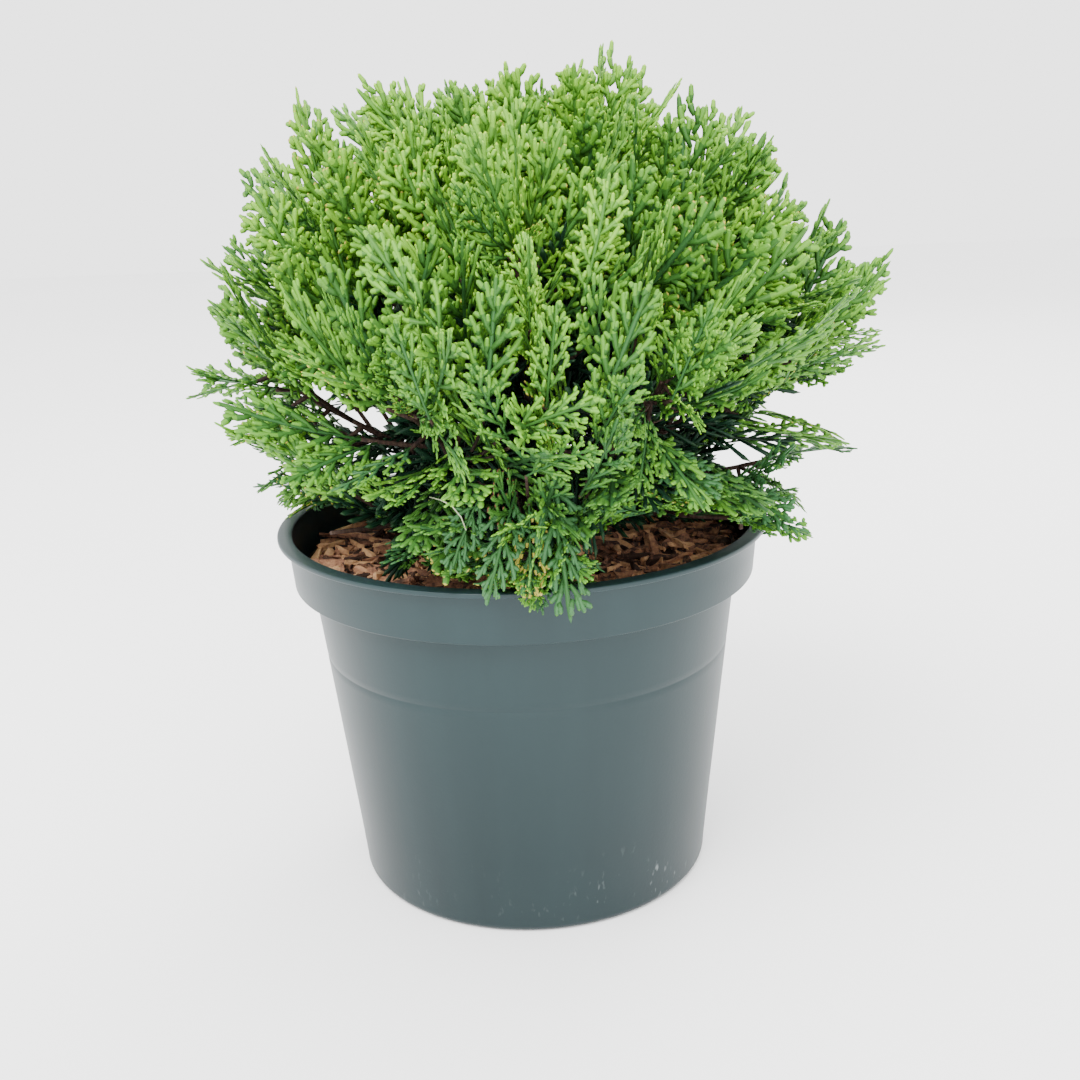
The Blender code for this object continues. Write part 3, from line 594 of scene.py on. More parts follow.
def branchlet(start, heading, length, half_width, profile, curl, bright):
    """A flattened rod in the spray's plane: rings of four points whose half width follows its scales.

    `heading` is an angle from the rib, and `curl` turns the rod slowly as it runs. Returns points
    (u along the rib, v across, w out of the plane), triangles, and a colour number for each triangle.
    """
    rows = np.array(SCALE_PROFILES[profile])
    share, width = rows[:, 0], rows[:, 1] * half_width
    share = np.append(share, 1.0)
    angle = heading + curl * share
    u = start[0] + length * share * np.cos((heading + angle) / 2)
    v = start[1] + length * share * np.sin((heading + angle) / 2)
    middle = np.stack([u, v, 0 * u], axis=1)
    across = np.stack([-np.sin(angle), np.cos(angle), 0 * angle], axis=1)[:-1] * width[:, None]
    outwards = UP * (width * THICKNESS_SHARE)[:, None]
    tip, middle = middle[-1:], middle[:-1]
    rings = np.stack([middle + across, middle + outwards, middle - across, middle - outwards], axis=1)
    count = len(rows)
    last = (count - 1) * 4
    cap = np.array([(last + k, last + (k + 1) % 4, 4 * count) for k in range(4)])
    whole = np.concatenate([grid_triangles(count, 4, wrap=True), cap, [(0, 3, 2), (0, 2, 1)]])
    shares = np.concatenate([np.tile(np.repeat(share[:-2], 4), 2), np.ones(4), np.zeros(2)])
    number = np.digitize(shares, COLOR_STEPS[profile]) + (OLD if profile == "rib" else MIDDLE)
    number = np.minimum(number, TIP if bright else YOUNG)
    points = np.concatenate([rings.reshape(-1, 3), tip])
    return points, outward(points - points.mean(axis=0), whole), number


# %% One spray
SIDE_BRANCHES = 10
HALF_WIDTH = 0.0235  # of the rib's length
SIDE_SPREAD = 0.40
SHORT_SPACING = 0.063
SHORT_LENGTH = 0.104
TEMPLATES = 16
PLAIN_TEMPLATES = 5


def spray_template(seed, rich=True):
    """A flat spray of length 1: a rib, side branchlets in turn, and short ones on the longer of these."""
    rng = np.random.default_rng(seed)
    parts = [branchlet((0.0, 0.0), 0.0, 1.0, HALF_WIDTH, "rib", rng.normal() * 0.08, True)]
    slopes = [0.0]
    for k in range(SIDE_BRANCHES):
        sign = 1 if k % 2 else -1
        far = k / (SIDE_BRANCHES - 1)
        u = 0.10 + 0.78 * far + rng.uniform(-0.012, 0.012)
        fullness = 0.80 + 0.5 * far - 1.05 * far**2.2
        length = SIDE_SPREAD * fullness * rng.uniform(0.86, 1.12)
        heading = sign * math.radians(rng.uniform(38, 48) - 8 * far)
        curl = -sign * rng.uniform(0.25, 0.55)
        outline = "side" if rich else "plain"
        parts.append(branchlet((u, 0.0), heading, length, HALF_WIDTH, outline, curl, rich))
        slope = rng.normal() * 0.22
        slopes.append(slope)
        if not rich:
            continue
        for j in range(int(round(length / SHORT_SPACING)) - 1):
            share = (j + 0.95) * SHORT_SPACING / length
            turned = heading + curl * share * 0.5
            place = (u + length * share * math.cos(turned), length * share * math.sin(turned))
            turn = turned + (sign if j % 2 else -sign) * math.radians(rng.uniform(34, 46))
            short = SHORT_LENGTH * (1.1 - 0.5 * share) * rng.uniform(0.8, 1.25)
            curve = -0.3 if turn > 0 else 0.3
            leafy = rng.uniform() < 0.7
            parts.append(branchlet(place, turn, short, HALF_WIDTH * 0.88, "short", curve, leafy))
            slopes.append(slope)
    shapes = []
    for (points, triangles, _), slope in zip(parts, slopes):
        raised = slope * np.abs(points[:, 1:2]) + 0.35 * points[:, 1:2] ** 2 + rng.normal() * 0.003
        shapes.append((points + UP * raised, triangles))
    return *joined(shapes), np.concatenate([numbers for _, _, numbers in parts])


RICH_SPRAYS = [spray_template(100 + k) for k in range(TEMPLATES)]
PLAIN_SPRAYS = [spray_template(300 + k, rich=False) for k in range(PLAIN_TEMPLATES)]
print("a full spray has about", int(np.mean([len(t) for _, t, _ in RICH_SPRAYS])), "triangles")

# %% [markdown]
# Where the sprays grow is a matter of branching. Each mass has one stem that goes on from its bough.
# Twigs leave the stem by the golden angle and head for the reach, and each twig ends in a spray and
# carries side sprays to left and right in turn. High sprays stand on edge and curve up; those that
# reach out to the sides lie flat; the low ones droop over the soil and the rim. A few short,
# shaded sprays on the boughs themselves close the view through the middle. What the photograph shows
# plainly is placed one by one: the tips in the outline, the fans on the front and the hanging fronds.

# %% Twigs and the places of sprays
TWIGS_BY_RING = (12, 13, 12, 13)
SPREAD_BY_RING = (27.0, 27.0, 25.0, 24.0)
SINK_BY_RING = (-0.14, -0.05, 0.0, 0.0)
BEND_BY_RISE = (
    # rise of the spray's tip in degrees, least and most lift of the tip as shares of the spray's length
    (-15.0, -0.50, -0.15),
    (8.0, -0.36, -0.04),
    (24.0, -0.12, 0.12),
    (45.0, 0.02, 0.22),
)
TIP_REACH = (0.91, 1.01)
LOW_TIP_REACH = (0.82, 0.97)
OUTLINE_SLACK = 1.02
LEADER_SLACK = 1.30
INNER_SLACK = 0.80
DEEP_SHARE = 0.58
SPRAY_LENGTHS = (0.046, 0.062)
SIDE_SHARES = (0.30, 0.56, 0.80, 0.97)
SHORTEST_TO_BEAR = (0.010, 0.018, 0.026, 0.014)
HANGING_SHARES = ((0.05, 0.25, 0.45, 0.65, 0.85, 1.0), (0.0, 0.30, 0.60), (), ())
HANGING_LENGTHS = (0.050, 0.064)
STEM_END = 0.90
INNER_SPRAYS = 16
INNER_LENGTHS = (0.040, 0.058)
FLAT_BELOW_RISE = 18.0
FLAT_FROM_SIDE = 0.72
TOPMOST_JOINT = 0.95
JOINTS_SPAN = 0.90
LEADER_JOINT = 0.8
LONGEST_SHARE = 0.86  # of the way from a joint to the tip, for the spray at the end
TWIG_SAG, LOW_TWIG_SAG, FAN_SAG = 0.14, -0.10, 0.006
SPRAY_OVERLAP = 0.004  # by which a spray's rib begins before its twig's end
LEADER_SIDE_SHARE = 0.72
STEM_RADII = (0.0013, 0.0008)
TWIG_RADII = (0.0010, 0.0007)
FAN_RADII = (0.0007, 0.0005)
NEARLY_UP = np.array((0.001, 0.002, 1.0))
SEED = 11
INNER = -1  # the order of the sprays on the boughs themselves
OUTERMOST_TIPS = (
    # the tips that stand out of the outline: place in the photograph in pixels, depth in metres
    (256, 158, 0.01), (300, 93, 0.0), (342, 118, 0.02), (375, 104, 0.01), (412, 98, -0.02),
    (328, 101, -0.02), (358, 92, 0.01), (392, 84, -0.01), (430, 90, 0.02), (462, 84, -0.01),
    (500, 72, 0.01), (545, 78, -0.01), (582, 58, 0.02), (617, 43, 0.0), (650, 68, 0.01),
    (683, 75, 0.0), (712, 96, 0.0), (744, 97, 0.01), (754, 130, 0.0), (812, 202, 0.0),
    (846, 212, -0.01), (888, 272, 0.0), (887, 343, 0.0), (860, 447, 0.01), (800, 508, -0.01),
    (193, 382, 0.0), (208, 314, 0.0), (245, 440, 0.0), (238, 172, 0.0),
    # and those that face the camera, low and in the middle
    (577, 622, -0.105), (533, 601, -0.100), (490, 606, -0.099), (447, 572, -0.088), (610, 572, -0.092),
    (415, 555, -0.086), (468, 545, -0.098), (515, 530, -0.104), (560, 555, -0.106), (600, 515, -0.104),
    (640, 500, -0.098), (490, 470, -0.112), (560, 470, -0.114), (620, 440, -0.112), (395, 425, -0.100),
    (655, 395, -0.108), (578, 398, -0.112), (590, 436, -0.112), (455, 425, -0.112), (735, 415, -0.045),
    (400, 375, -0.108),
)
TINTED_TIPS = {
    # the colours at the end of two of these sprays: one has turned tan, and one has withered
    (533, 601): ("bronze", "tan"),
    (490, 470): ("mid_2", "rust"),
}
TOP_TIPS = (
    # rise and azimuth in degrees of a few more, where the upright sprays would leave a hollow
    (83.0, 30.0), (83.0, 150.0), (80.0, -90.0), (71.0, -98.0), (68.0, -78.0), (64.0, -104.0), (72.0, -58.0),
)
TOP_REACH = 0.93
FRONT_FANS = (
    # foot and tip, in pixels of the photograph, of the upright sprays that show their face
    (484, 420, 497, 273), (596, 420, 648, 277), (457, 351, 362, 235), (583, 299, 614, 173),
    (592, 450, 642, 366), (512, 446, 466, 366), (546, 408, 556, 300), (530, 330, 520, 236),
    (430, 420, 392, 320), (672, 400, 715, 300), (502, 436, 604, 402), (580, 496, 630, 424),
    (526, 476, 600, 450),
)
HANGING_FANS = (
    # foot and tip in pixels, each with its depth, and the tint of the end: those that hang towards the rim
    ((545, 482, -0.098), (577, 622, -0.112), None),
    ((516, 492, -0.098), (489, 607, -0.110), None),
    ((529, 505, -0.101), (533, 604, -0.110), ("bronze", "tan")),
    ((586, 498, -0.094), (612, 574, -0.098), None),
    ((486, 486, -0.094), (447, 574, -0.096), None),
)
FAN_FOOT_REACH = 0.84
FAN_TIP_REACH = 0.96
JOINT_BEHIND = 0.010


def sight_line(x, y):
    """The direction in which the camera sees a pixel of the 1080 pixel frame."""
    across = (x - IMAGE_SIDE / 2) / FOCAL_PIXELS
    down = (y - IMAGE_SIDE / 2) / FOCAL_PIXELS
    return unit(VIEW_FORWARD + VIEW_RIGHT * across - VIEW_UP * down)


def in_picture(x, y, depth):
    """The point at a depth (its own y) that the camera sees at a pixel."""
    line = sight_line(x, y)
    return CAMERA_PLACE + line * (depth - CAMERA_PLACE[1]) / line[1]


def on_crown(x, y, share):
    """The first point on a pixel's line of sight that lies within a share of the reach."""
    places = CAMERA_PLACE + np.linspace(0.30, 0.60, 301)[:, None] * sight_line(x, y)
    from_heart = places - HEART
    distance = np.linalg.norm(from_heart, axis=1)
    inside = distance < reach(from_heart / distance[:, None]) * share
    return places[int(np.argmax(inside))]


def by_mass(rows):
    """Rows that begin with a point, each given to the mass whose direction is nearest to that point's."""
    shared = {entry["name"]: [] for entry in PLAN}
    for row in rows:
        out = unit(row[0] - HEART)
        nearest = max(PLAN, key=lambda entry: float(np.dot(entry["axis"], out)))
        shared[nearest["name"]].append(row)
    return shared


leaders = [(in_picture(x, y, depth), TINTED_TIPS.get((x, y))) for x, y, depth in OUTERMOST_TIPS]
leaders += [(HEART + out * reach(out) * TOP_REACH, None) for out in (direction(*tip) for tip in TOP_TIPS)]
LEADERS = by_mass(leaders)
fans = [(on_crown(x, y, FAN_FOOT_REACH), on_crown(u, v, FAN_TIP_REACH), None) for x, y, u, v in FRONT_FANS]
fans += [(in_picture(*foot), in_picture(*tip), tint) for foot, tip, tint in HANGING_FANS]
FANS = by_mass(fans)


def along_path(path, share):
    place = share * (len(path) - 1)
    low = min(int(place), len(path) - 2)
    return path[low] + (path[low + 1] - path[low]) * (place - low)


def stem_path(entry):
    """The stem of a mass: from its bough's tip along its direction, turning a little upwards."""
    axis = entry["axis"]
    start = HEART + axis * HOLLOW_RADIUS
    length = STEM_LENGTH * (reach(axis) - HOLLOW_RADIUS)
    rise = UP * (0.10 if entry["ring"] else 0.02)
    shares = np.linspace(0.0, 1.0, 9)[:, None]
    return start + axis * length * shares + rise * length * shares**2


def joint_behind(foot):
    """The place on a stem behind a fan's foot from which a twig runs most nearly along the view."""
    places = np.concatenate([stem_path(entry)[1:] for entry in PLAN]) - foot
    behind = places @ VIEW_FORWARD
    aside = np.linalg.norm(places - behind[:, None] * VIEW_FORWARD, axis=1)
    return foot + places[int(np.argmin(np.where(behind > JOINT_BEHIND, aside, np.inf)))]


def frame_of(along, hint):
    side = unit(np.cross(along, hint))
    return side, np.cross(side, along)


def grow_mass(entry):
    """The mass's stem, and the place of each spray on its twigs, on the stem and on the bough."""
    rng = np.random.default_rng(SEED + 31 * PLAN.index(entry))
    ring, axis, name = entry["ring"], entry["axis"], entry["name"]
    stem = stem_path(entry)
    side, up = frame_of(axis, UP if ring < 3 else np.array((1.0, 0.0, 0.0)))
    sprays = []
    twigs = TWIGS_BY_RING[ring]
    tips = LOW_TIP_REACH if ring == 0 and entry is not PLAN[0] else TIP_REACH
    for k in range(twigs):
        off_axis = math.radians(SPREAD_BY_RING[ring]) * math.sqrt((k + 0.4) / twigs)
        turn = k * GOLDEN_ANGLE + entry["azimuth"] + rng.normal() * 0.12
        out = axis * math.cos(off_axis)
        out = out + (side * math.cos(turn) + up * math.sin(turn)) * math.sin(off_axis)
        out = unit(out + UP * SINK_BY_RING[ring])
        tip = HEART + out * reach(out) * rng.uniform(*tips)
        joint = along_path(stem, TOPMOST_JOINT - JOINTS_SPAN * k / (twigs - 1))
        sprays += twig_and_sprays(entry, rng, joint, tip)
    for tip, tint in LEADERS[name]:
        sprays += twig_and_sprays(entry, rng, along_path(stem, LEADER_JOINT), tip, tint, leader=True)
    outwards = direction(0.0, entry["azimuth"])
    sideways = np.array((-outwards[1], outwards[0], 0.0))
    for share in HANGING_SHARES[ring]:
        heading = outwards * 0.8 + sideways * rng.normal() * 0.45
        heading = heading + UP * rng.uniform(-0.5, -0.1)
        length = rng.uniform(*HANGING_LENGTHS)
        sprays.append(make_place(entry, rng, along_path(stem, share), heading, sideways, length, 2))
    limb = np.concatenate([bough_path(entry)[8:], stem[1:5]])
    for share in np.linspace(0.0, 1.0, INNER_SPRAYS):
        heading = unit(rng.normal(size=3)) + axis * 0.8
        across = rng.normal(size=3)
        length = rng.uniform(*INNER_LENGTHS)
        root = along_path(limb, share)
        sprays.append(make_place(entry, rng, root, heading, across, length, INNER, INNER_SLACK))
    for across in (side, up):
        heading = axis + across * rng.normal() * 0.3
        length = rng.uniform(*INNER_LENGTHS)
        sprays.append(make_place(entry, rng, along_path(stem, STEM_END), heading, across, length, 3))
    sprays += [fan(entry, rng, *row) for row in FANS[name]]
    return stem, sprays


def twig_and_sprays(entry, rng, joint, tip, tint=None, leader=False):
    """A curved twig from joint towards tip, with one spray at its end and others along it."""
    rise = rise_of(unit(tip - HEART))
    whole = tip - joint
    distance = np.linalg.norm(whole)
    length = min(rng.uniform(*SPRAY_LENGTHS), distance * LONGEST_SHARE)
    bare = 1.0 - 0.94 * length / distance
    sag = UP * (TWIG_SAG if entry["ring"] else LOW_TWIG_SAG) * distance
    shares = np.linspace(0.0, bare, 7)[:, None]
    twig = joint + whole * shares - sag * (shares - shares**2)
    along = unit(twig[-1] - twig[-2])
    sideways = abs(entry["axis"][0]) / max(1e-6, np.linalg.norm(entry["axis"][:2]))
    broadside = leader and rise > FLAT_BELOW_RISE
    across, upward = frame_of(along, -VIEW_FORWARD if broadside else NEARLY_UP)
    if broadside:
        roll = rng.normal() * 0.5
    elif rise < FLAT_BELOW_RISE or (entry["ring"] < 2 and sideways > FLAT_FROM_SIDE):
        roll = rng.normal() * 0.35
    else:
        roll = math.pi / 2 + rng.normal() * 0.75
    across = across * math.cos(roll) + upward * math.sin(roll)
    end = twig[-1] - along * SPRAY_OVERLAP
    slack = LEADER_SLACK if leader else OUTLINE_SLACK
    sprays = [make_place(entry, rng, end, tip - end, across, length, 0, slack, (twig, TWIG_RADII), tint)]
    for index, share in enumerate(SIDE_SHARES[:2] if leader else SIDE_SHARES):
        if distance * bare < SHORTEST_TO_BEAR[index]:
            continue
        place = along_path(twig, share)
        lean = math.radians(rng.uniform(30, 46)) * (1 if index % 2 else -1)
        heading = along * math.cos(lean) + across * math.sin(lean)
        shorter = rng.uniform(0.70, 0.95) * (LEADER_SIDE_SHARE if leader else 1.0)
        sprays.append(make_place(entry, rng, place, heading, across, length * shorter, 1 + index))
    return sprays


def fan(entry, rng, foot, tip, tint):
    """One spray from foot to tip, its face to the camera, on a sagging twig that comes from behind."""
    joint = joint_behind(foot)
    shares = np.linspace(0.0, 1.0, 7)[:, None]
    twig = joint + (foot - joint) * shares - UP * FAN_SAG * (shares - shares**2)
    across, _ = frame_of(unit(tip - foot), -VIEW_FORWARD)
    length = np.linalg.norm(tip - foot)
    return make_place(entry, rng, foot, tip - foot, across, length, 0, LEADER_SLACK, (twig, FAN_RADII), tint)


def make_place(entry, rng, root, heading, across, length, order, slack=OUTLINE_SLACK, limb=None, tint=None):
    """Where one spray grows: its root, three directions, length and bend, and what goes with it.

    One of order 0 is to end at its own tip, so its heading makes up for the lift of its bend.
    """
    heading = unit(heading)
    out = unit(root + heading * length - HEART)
    rises, least, most = np.array(BEND_BY_RISE).T
    lift = rng.uniform(np.interp(rise_of(out), rises, least), np.interp(rise_of(out), rises, most))
    if order:
        room = reach(out) * TIP_REACH[1] - np.linalg.norm(root - HEART)
        length = max(0.5 * length, min(length, room))
    else:
        heading = heading - UP * lift
    straight = unit(heading)
    across = unit(across - straight * np.dot(across, straight))
    normal = np.cross(straight, across)
    twist = rng.normal() * 0.22
    across = across * math.cos(twist) + normal * math.sin(twist)
    return {
        "root": root,
        "along": heading,
        "across": across,
        "normal": np.cross(straight, across),
        "length": length,
        "bend": UP * lift,
        "order": order,
        "slack": slack,
        "limb": limb,
        "tint": tint,
        "ring": entry["ring"],
        "template": int(rng.integers(TEMPLATES)),
        "chance": rng.uniform(size=3),
        "mirror": 1 if rng.uniform() < 0.5 else -1,
    }


# %% [markdown]
# Two things keep a spray from growing where it seems to want to. It can't pass through the pot or
# the soil, and the crown is open where the photograph shows sky or mulch through it: slanted holes
# low on the left and on the right, which are tubes along the line of sight.

# %% Where nothing grows
OPENINGS = (
    # place in the photograph in pixels, half width and half height in metres
    (362, 418, 0.011, 0.0040), (415, 440, 0.004, 0.0030), (735, 452, 0.011, 0.0045),
    (335, 538, 0.019, 0.0115), (398, 585, 0.020, 0.0040), (676, 545, 0.028, 0.0115),
    (805, 402, 0.016, 0.0055), (815, 475, 0.013, 0.0060), (248, 468, 0.011, 0.0060),
    (206, 338, 0.007, 0.0060), (203, 288, 0.008, 0.0055), (897, 310, 0.010, 0.0080),
    (536, 631, 0.007, 0.0060), (450, 60, 0.022, 0.0055), (540, 60, 0.010, 0.0045),
    (652, 54, 0.008, 0.0035), (825, 178, 0.012, 0.0070),
)
SHARE_IN_OPENING = 0.04
INNER_SHARE_IN_OPENING = 0.12


def in_opening(points):
    """True where a point lies in one of the tubes along the line of sight."""
    found = np.zeros(len(points), bool)
    for x, y, half_width, half_height in OPENINGS:
        line = sight_line(x, y)
        off = points - CAMERA_PLACE
        off = off - np.outer(off @ line, line)
        found |= ((off @ VIEW_RIGHT) / half_width) ** 2 + ((off @ VIEW_UP) / half_height) ** 2 < 1
    return found


RIM_CLEARANCE = 0.0006
INSIDE_CLEARANCE = 0.0008
CHIPS_CLEARANCE = 0.0035
BELOW_COLLAR = 0.004
MOST_TRIALS = 9
SHORTER_TO_REACH = 0.94
SHORTER_TO_CLEAR = 0.95
LIFT_TO_CLEAR = 0.14


def clear_of_pot(points):
    """True where points stand above the bark chips and clear of the rim, inside it and outside it."""
    radius, height = np.hypot(points[:, 0], points[:, 1]), points[:, 2]
    above_rim = height > POT_HEIGHT + 0.0004
    inside = (radius < COLLAR_TOP_RADIUS - WALL - INSIDE_CLEARANCE) & (height > SOIL_LEVEL + CHIPS_CLEARANCE)
    outside = (radius > RIM_RADIUS + RIM_CLEARANCE) & (height > POT_HEIGHT - COLLAR_HEIGHT - BELOW_COLLAR)
    return above_rim | inside | outside


def spray_points(place, template):
    """The template laid in place: root + length (u along + v across + w normal + u^2 bend)."""
    u, v, w = template[0].T
    flat = (
        u[:, None] * place["along"]
        + (v * place["mirror"])[:, None] * place["across"]
        + w[:, None] * place["normal"]
        + (u**2)[:, None] * place["bend"]
    )
    return place["root"] + place["length"] * flat


def template_of(place):
    """Sprays at the ends and near them are full; those deep in the crown, which hardly show, are plain."""
    if is_deep(place):
        return PLAIN_SPRAYS[place["template"] % PLAIN_TEMPLATES]
    return RICH_SPRAYS[place["template"]]


def is_deep(place):
    """True for the sprays on the boughs, and for the first on a twig where it leaves its stem far inside."""
    from_heart = place["root"] - HEART
    inside = np.linalg.norm(from_heart) < DEEP_SHARE * float(reach(unit(from_heart)))
    return place["order"] == INNER or (place["order"] == 1 and place["ring"] != 0 and inside)


def past_reach(points, slack):
    """True if any point stands further from the heart than the reach in its direction, times the slack."""
    from_heart = points - HEART
    distance = np.linalg.norm(from_heart, axis=1)
    return bool((distance > reach(from_heart / distance[:, None]) * slack).any())


def settled(place):
    """The spray's points, made shorter until they keep within the reach, or None where it won't fit.

    A spray that meets the pot or an opening is tried again with more lift.
    """
    template = template_of(place)
    open_share = INNER_SHARE_IN_OPENING if place["order"] == INNER else SHARE_IN_OPENING
    for _ in range(MOST_TRIALS):
        points = spray_points(place, template)
        if past_reach(points[::3], place["slack"]):
            place["length"] *= SHORTER_TO_REACH
            continue
        if clear_of_pot(points).all() and in_opening(points[::9]).mean() <= open_share:
            return points
        place["bend"] = place["bend"] + UP * LIFT_TO_CLEAR
        place["length"] *= SHORTER_TO_CLEAR
    return None


# %% [markdown]
# The greens change over the plant: the ends are yellow-green, the older parts deep green, and the low,
# shaded sprays bluish and darker, partly their own tint and partly painted shade. Sprays high on the
# crown are dealt lighter greens as painted light, and those deep inside nearly black greens as painted
# shade. A few tips are bronze. Each spray is dealt four plain colours, from its old rib to its tips.
# They stay plain so that they stay sharp on so fine a mesh.

# %% Greens
GREENS = {
    "deep": (0.003, 0.012, 0.005),
    "dark_1": (0.008, 0.034, 0.010),
    "dark_2": (0.014, 0.052, 0.012),
    "dark_3": (0.006, 0.028, 0.013),
    "mid_1": (0.031, 0.108, 0.016),
    "mid_2": (0.048, 0.145, 0.019),
    "mid_3": (0.023, 0.086, 0.020),
    "fresh_1": (0.078, 0.215, 0.020),
    "fresh_2": (0.108, 0.275, 0.022),
    "fresh_3": (0.150, 0.345, 0.024),
    "lime_1": (0.210, 0.420, 0.024),
    "lime_2": (0.290, 0.480, 0.030),
    "blue_1": (0.034, 0.112, 0.037),
    "bronze": (0.320, 0.290, 0.040),
    "tan": (0.480, 0.340, 0.170),
    "rust": (0.120, 0.045, 0.022),
}
GREEN_NAMES = list(GREENS)
GREEN_FINISHES = [
    Finish(f"scale_leaf_{name}", color, 0.50, Specular_IOR_Level=0.20).material
    for name, color in GREENS.items()
]
LOW_COLORS = (
    ("mid_3", "mid_3", "blue_1", "mid_2"),
    ("dark_2", "mid_1", "mid_2", "fresh_1"),
    ("mid_3", "blue_1", "fresh_1", "fresh_2"),
    ("mid_1", "mid_2", "fresh_1", "fresh_3"),
)
HIGH_COLORS = (
    ("dark_2", "mid_3", "mid_2", "fresh_1"),
    ("mid_3", "mid_1", "fresh_1", "fresh_2"),
    ("mid_3", "mid_1", "fresh_1", "fresh_3"),
    ("mid_1", "mid_2", "fresh_2", "fresh_3"),
    ("mid_1", "mid_2", "fresh_2", "lime_1"),
    ("mid_2", "fresh_1", "fresh_3", "lime_2"),
)
# The sprays deep inside get nearly black greens: deep green darkened as painted shade.
INNER_PAINTED_SHADE_COLORS = ("deep", "dark_3", "dark_1", "dark_2")
BRONZE_SHARE = 0.06
LOW_RISE = 12.0
LOW_RISE_SPREAD = 8.0
TOP_LIGHT_PAINTED_FROM, TOP_LIGHT_PAINTED_OVER = 0.17, 0.10  # heights in metres


def dealt_colors(place):
    """The palette numbers of a spray, by its place and by chance."""
    first, second, third = place["chance"]
    tip = place["root"] + place["along"] * place["length"]
    if is_deep(place):
        names = INNER_PAINTED_SHADE_COLORS
    elif rise_of(unit(tip - HEART)) < LOW_RISE + LOW_RISE_SPREAD * (third - 0.5):
        # Low sprays: darker, bluish greens, partly their own tint and partly painted shade.
        names = LOW_COLORS[int(first * len(LOW_COLORS))]
    else:
        # The higher the root, the lighter the greens: painted light on the top of the crown; the rest is
        # chance.
        height = float(np.clip((place["root"][2] - TOP_LIGHT_PAINTED_FROM) / TOP_LIGHT_PAINTED_OVER, 0, 1))
        step = 0.62 * height + 0.66 * first - 0.08
        names = HIGH_COLORS[int(np.clip(step, 0, 0.999) * len(HIGH_COLORS))]
    names = list(names)
    if second < BRONZE_SHARE:
        names[TIP] = "bronze"
    if place["tint"]:
        names[YOUNG:] = place["tint"]
    return [GREEN_NAMES.index(name) for name in names]


# %% Grow the crown
MOST_TRIANGLES = 190000


def mass_mesh(entry):
    """The sprays of one mass that find room, with their colours, and the limbs that bear them.

    A twig whose own spray finds no room isn't grown.
    """
    stem, places = grow_mass(entry)
    limbs, parts, colors = [(stem, STEM_RADII)], [], []
    for place in places:
        points = settled(place)
        if points is None:
            continue
        _, triangles, numbers = template_of(place)
        parts.append((points, triangles[:, :: place["mirror"]]))
        colors.append(np.array(dealt_colors(place))[numbers])
        if place["limb"]:
            limbs.append(place["limb"])
    return joined(parts), np.concatenate(colors), limbs


crown_pieces, crown_limbs = [], []
for entry in PLAN:
    mesh, colors, limbs = mass_mesh(entry)
    crown_limbs += limbs
    if not crown_pieces or crown_pieces[-1]["count"] + len(colors) > MOST_TRIANGLES:
        crown_pieces.append({"names": [], "meshes": [], "colors": [], "count": 0})
    piece = crown_pieces[-1]
    piece["names"].append(entry["name"])
    piece["meshes"].append(mesh)
    piece["colors"].append(colors)
    piece["count"] += len(colors)

for index, piece in enumerate(crown_pieces):
    mesh, colors = joined(piece["meshes"]), np.concatenate(piece["colors"])
    sprays = add_piece(f"sprays_{index + 1}", *mesh, GREEN_FINISHES, colors)
    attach(sprays, "root")
    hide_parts(*(f"foliage_{name}" for name in piece["names"]))
print(sum(piece["count"] for piece in crown_pieces), "triangles of sprays")

# %% [markdown]
# The stems and twigs inside the crown are thin tapering tubes in the bark's colours. They show only in
# the gaps, so six sides are enough, and one mesh holds them all.

# %% Twigs
LIMB_SIDES = 6
limb_tubes = [tube(path, np.linspace(*radii, len(path)), LIMB_SIDES) for path, radii in crown_limbs]
twig_piece = add_piece("twigs", *joined(limb_tubes), [STEM_BARK])
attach(twig_piece, "root")

# A dry, bleached stalk hangs loose in front of the low sprays.
STALK = ((430, 497, -0.078), (441, 500, -0.090), (452, 506, -0.096), (461, 517, -0.098), (466, 530, -0.096))
bleached = Finish("bleached_stalk", (0.42, 0.46, 0.30), 0.7, Specular_IOR_Level=0.2).material
stalk_radii = np.linspace(0.00027, 0.0002, len(STALK))
stalk_path = [in_picture(*row) for row in STALK]
stalk = add_piece("dry_stalk", *tube(stalk_path, stalk_radii, LIMB_SIDES), [bleached])
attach(stalk, "root")

# %% [markdown]
# The soil is covered with a mulch of bark chips. They are splinters: flat, longer than wide, with torn
# ends, and red-brown where they are fresh. The bed is a low surface with waves, and the chips are
# laid on it at random, nearly level along their length and rolled to either side. The crumbs between
# them are the same splinters, only smaller.

# %% Bark mulch
BED_ROWS = 60
BED_SPOKES = 160
CHIPS = 1100
TRUNK_CLEARANCE = 0.0105
CRUMBS = 900
WIDTH_SHARES = (0.07, 0.21)
CHIPS_FROM_WALL = 0.0035
SLAB = (6, 3, 2)  # points of a chip along it, across it and through it
TORN = (0.0004, 0.0003, 0.00018)  # how far these points stray along, across and through
BED_DEPTH = 0.0033  # it ends above the step of the pot's collar
BED_WAVES = ((0.0016, 90, 5), (0.0007, 420, 6))  # height in metres, scale and seed
BED_FADE = 0.012  # the way from the trunk's foot over which the waves rise


def inner_radius_at(height):
    profile = pot_profile()[-9:]
    order = np.argsort(profile[:, 1])
    return float(np.interp(height, profile[order, 1], profile[order, 0]))


BED_RADIUS = inner_radius_at(SOIL_LEVEL) - 0.0004


def bed_height(x, y):
    places = np.stack([x, y, np.zeros_like(x)], axis=-1)
    fade = np.clip((np.hypot(x, y) - TRUNK_PAD_RADIUS) / BED_FADE, 0, 1)
    height = sum(share * waves(places, scale, seed) for share, scale, seed in BED_WAVES) * fade - 0.001
    return SOIL_LEVEL + np.maximum(height, 0.0006 - BED_DEPTH)


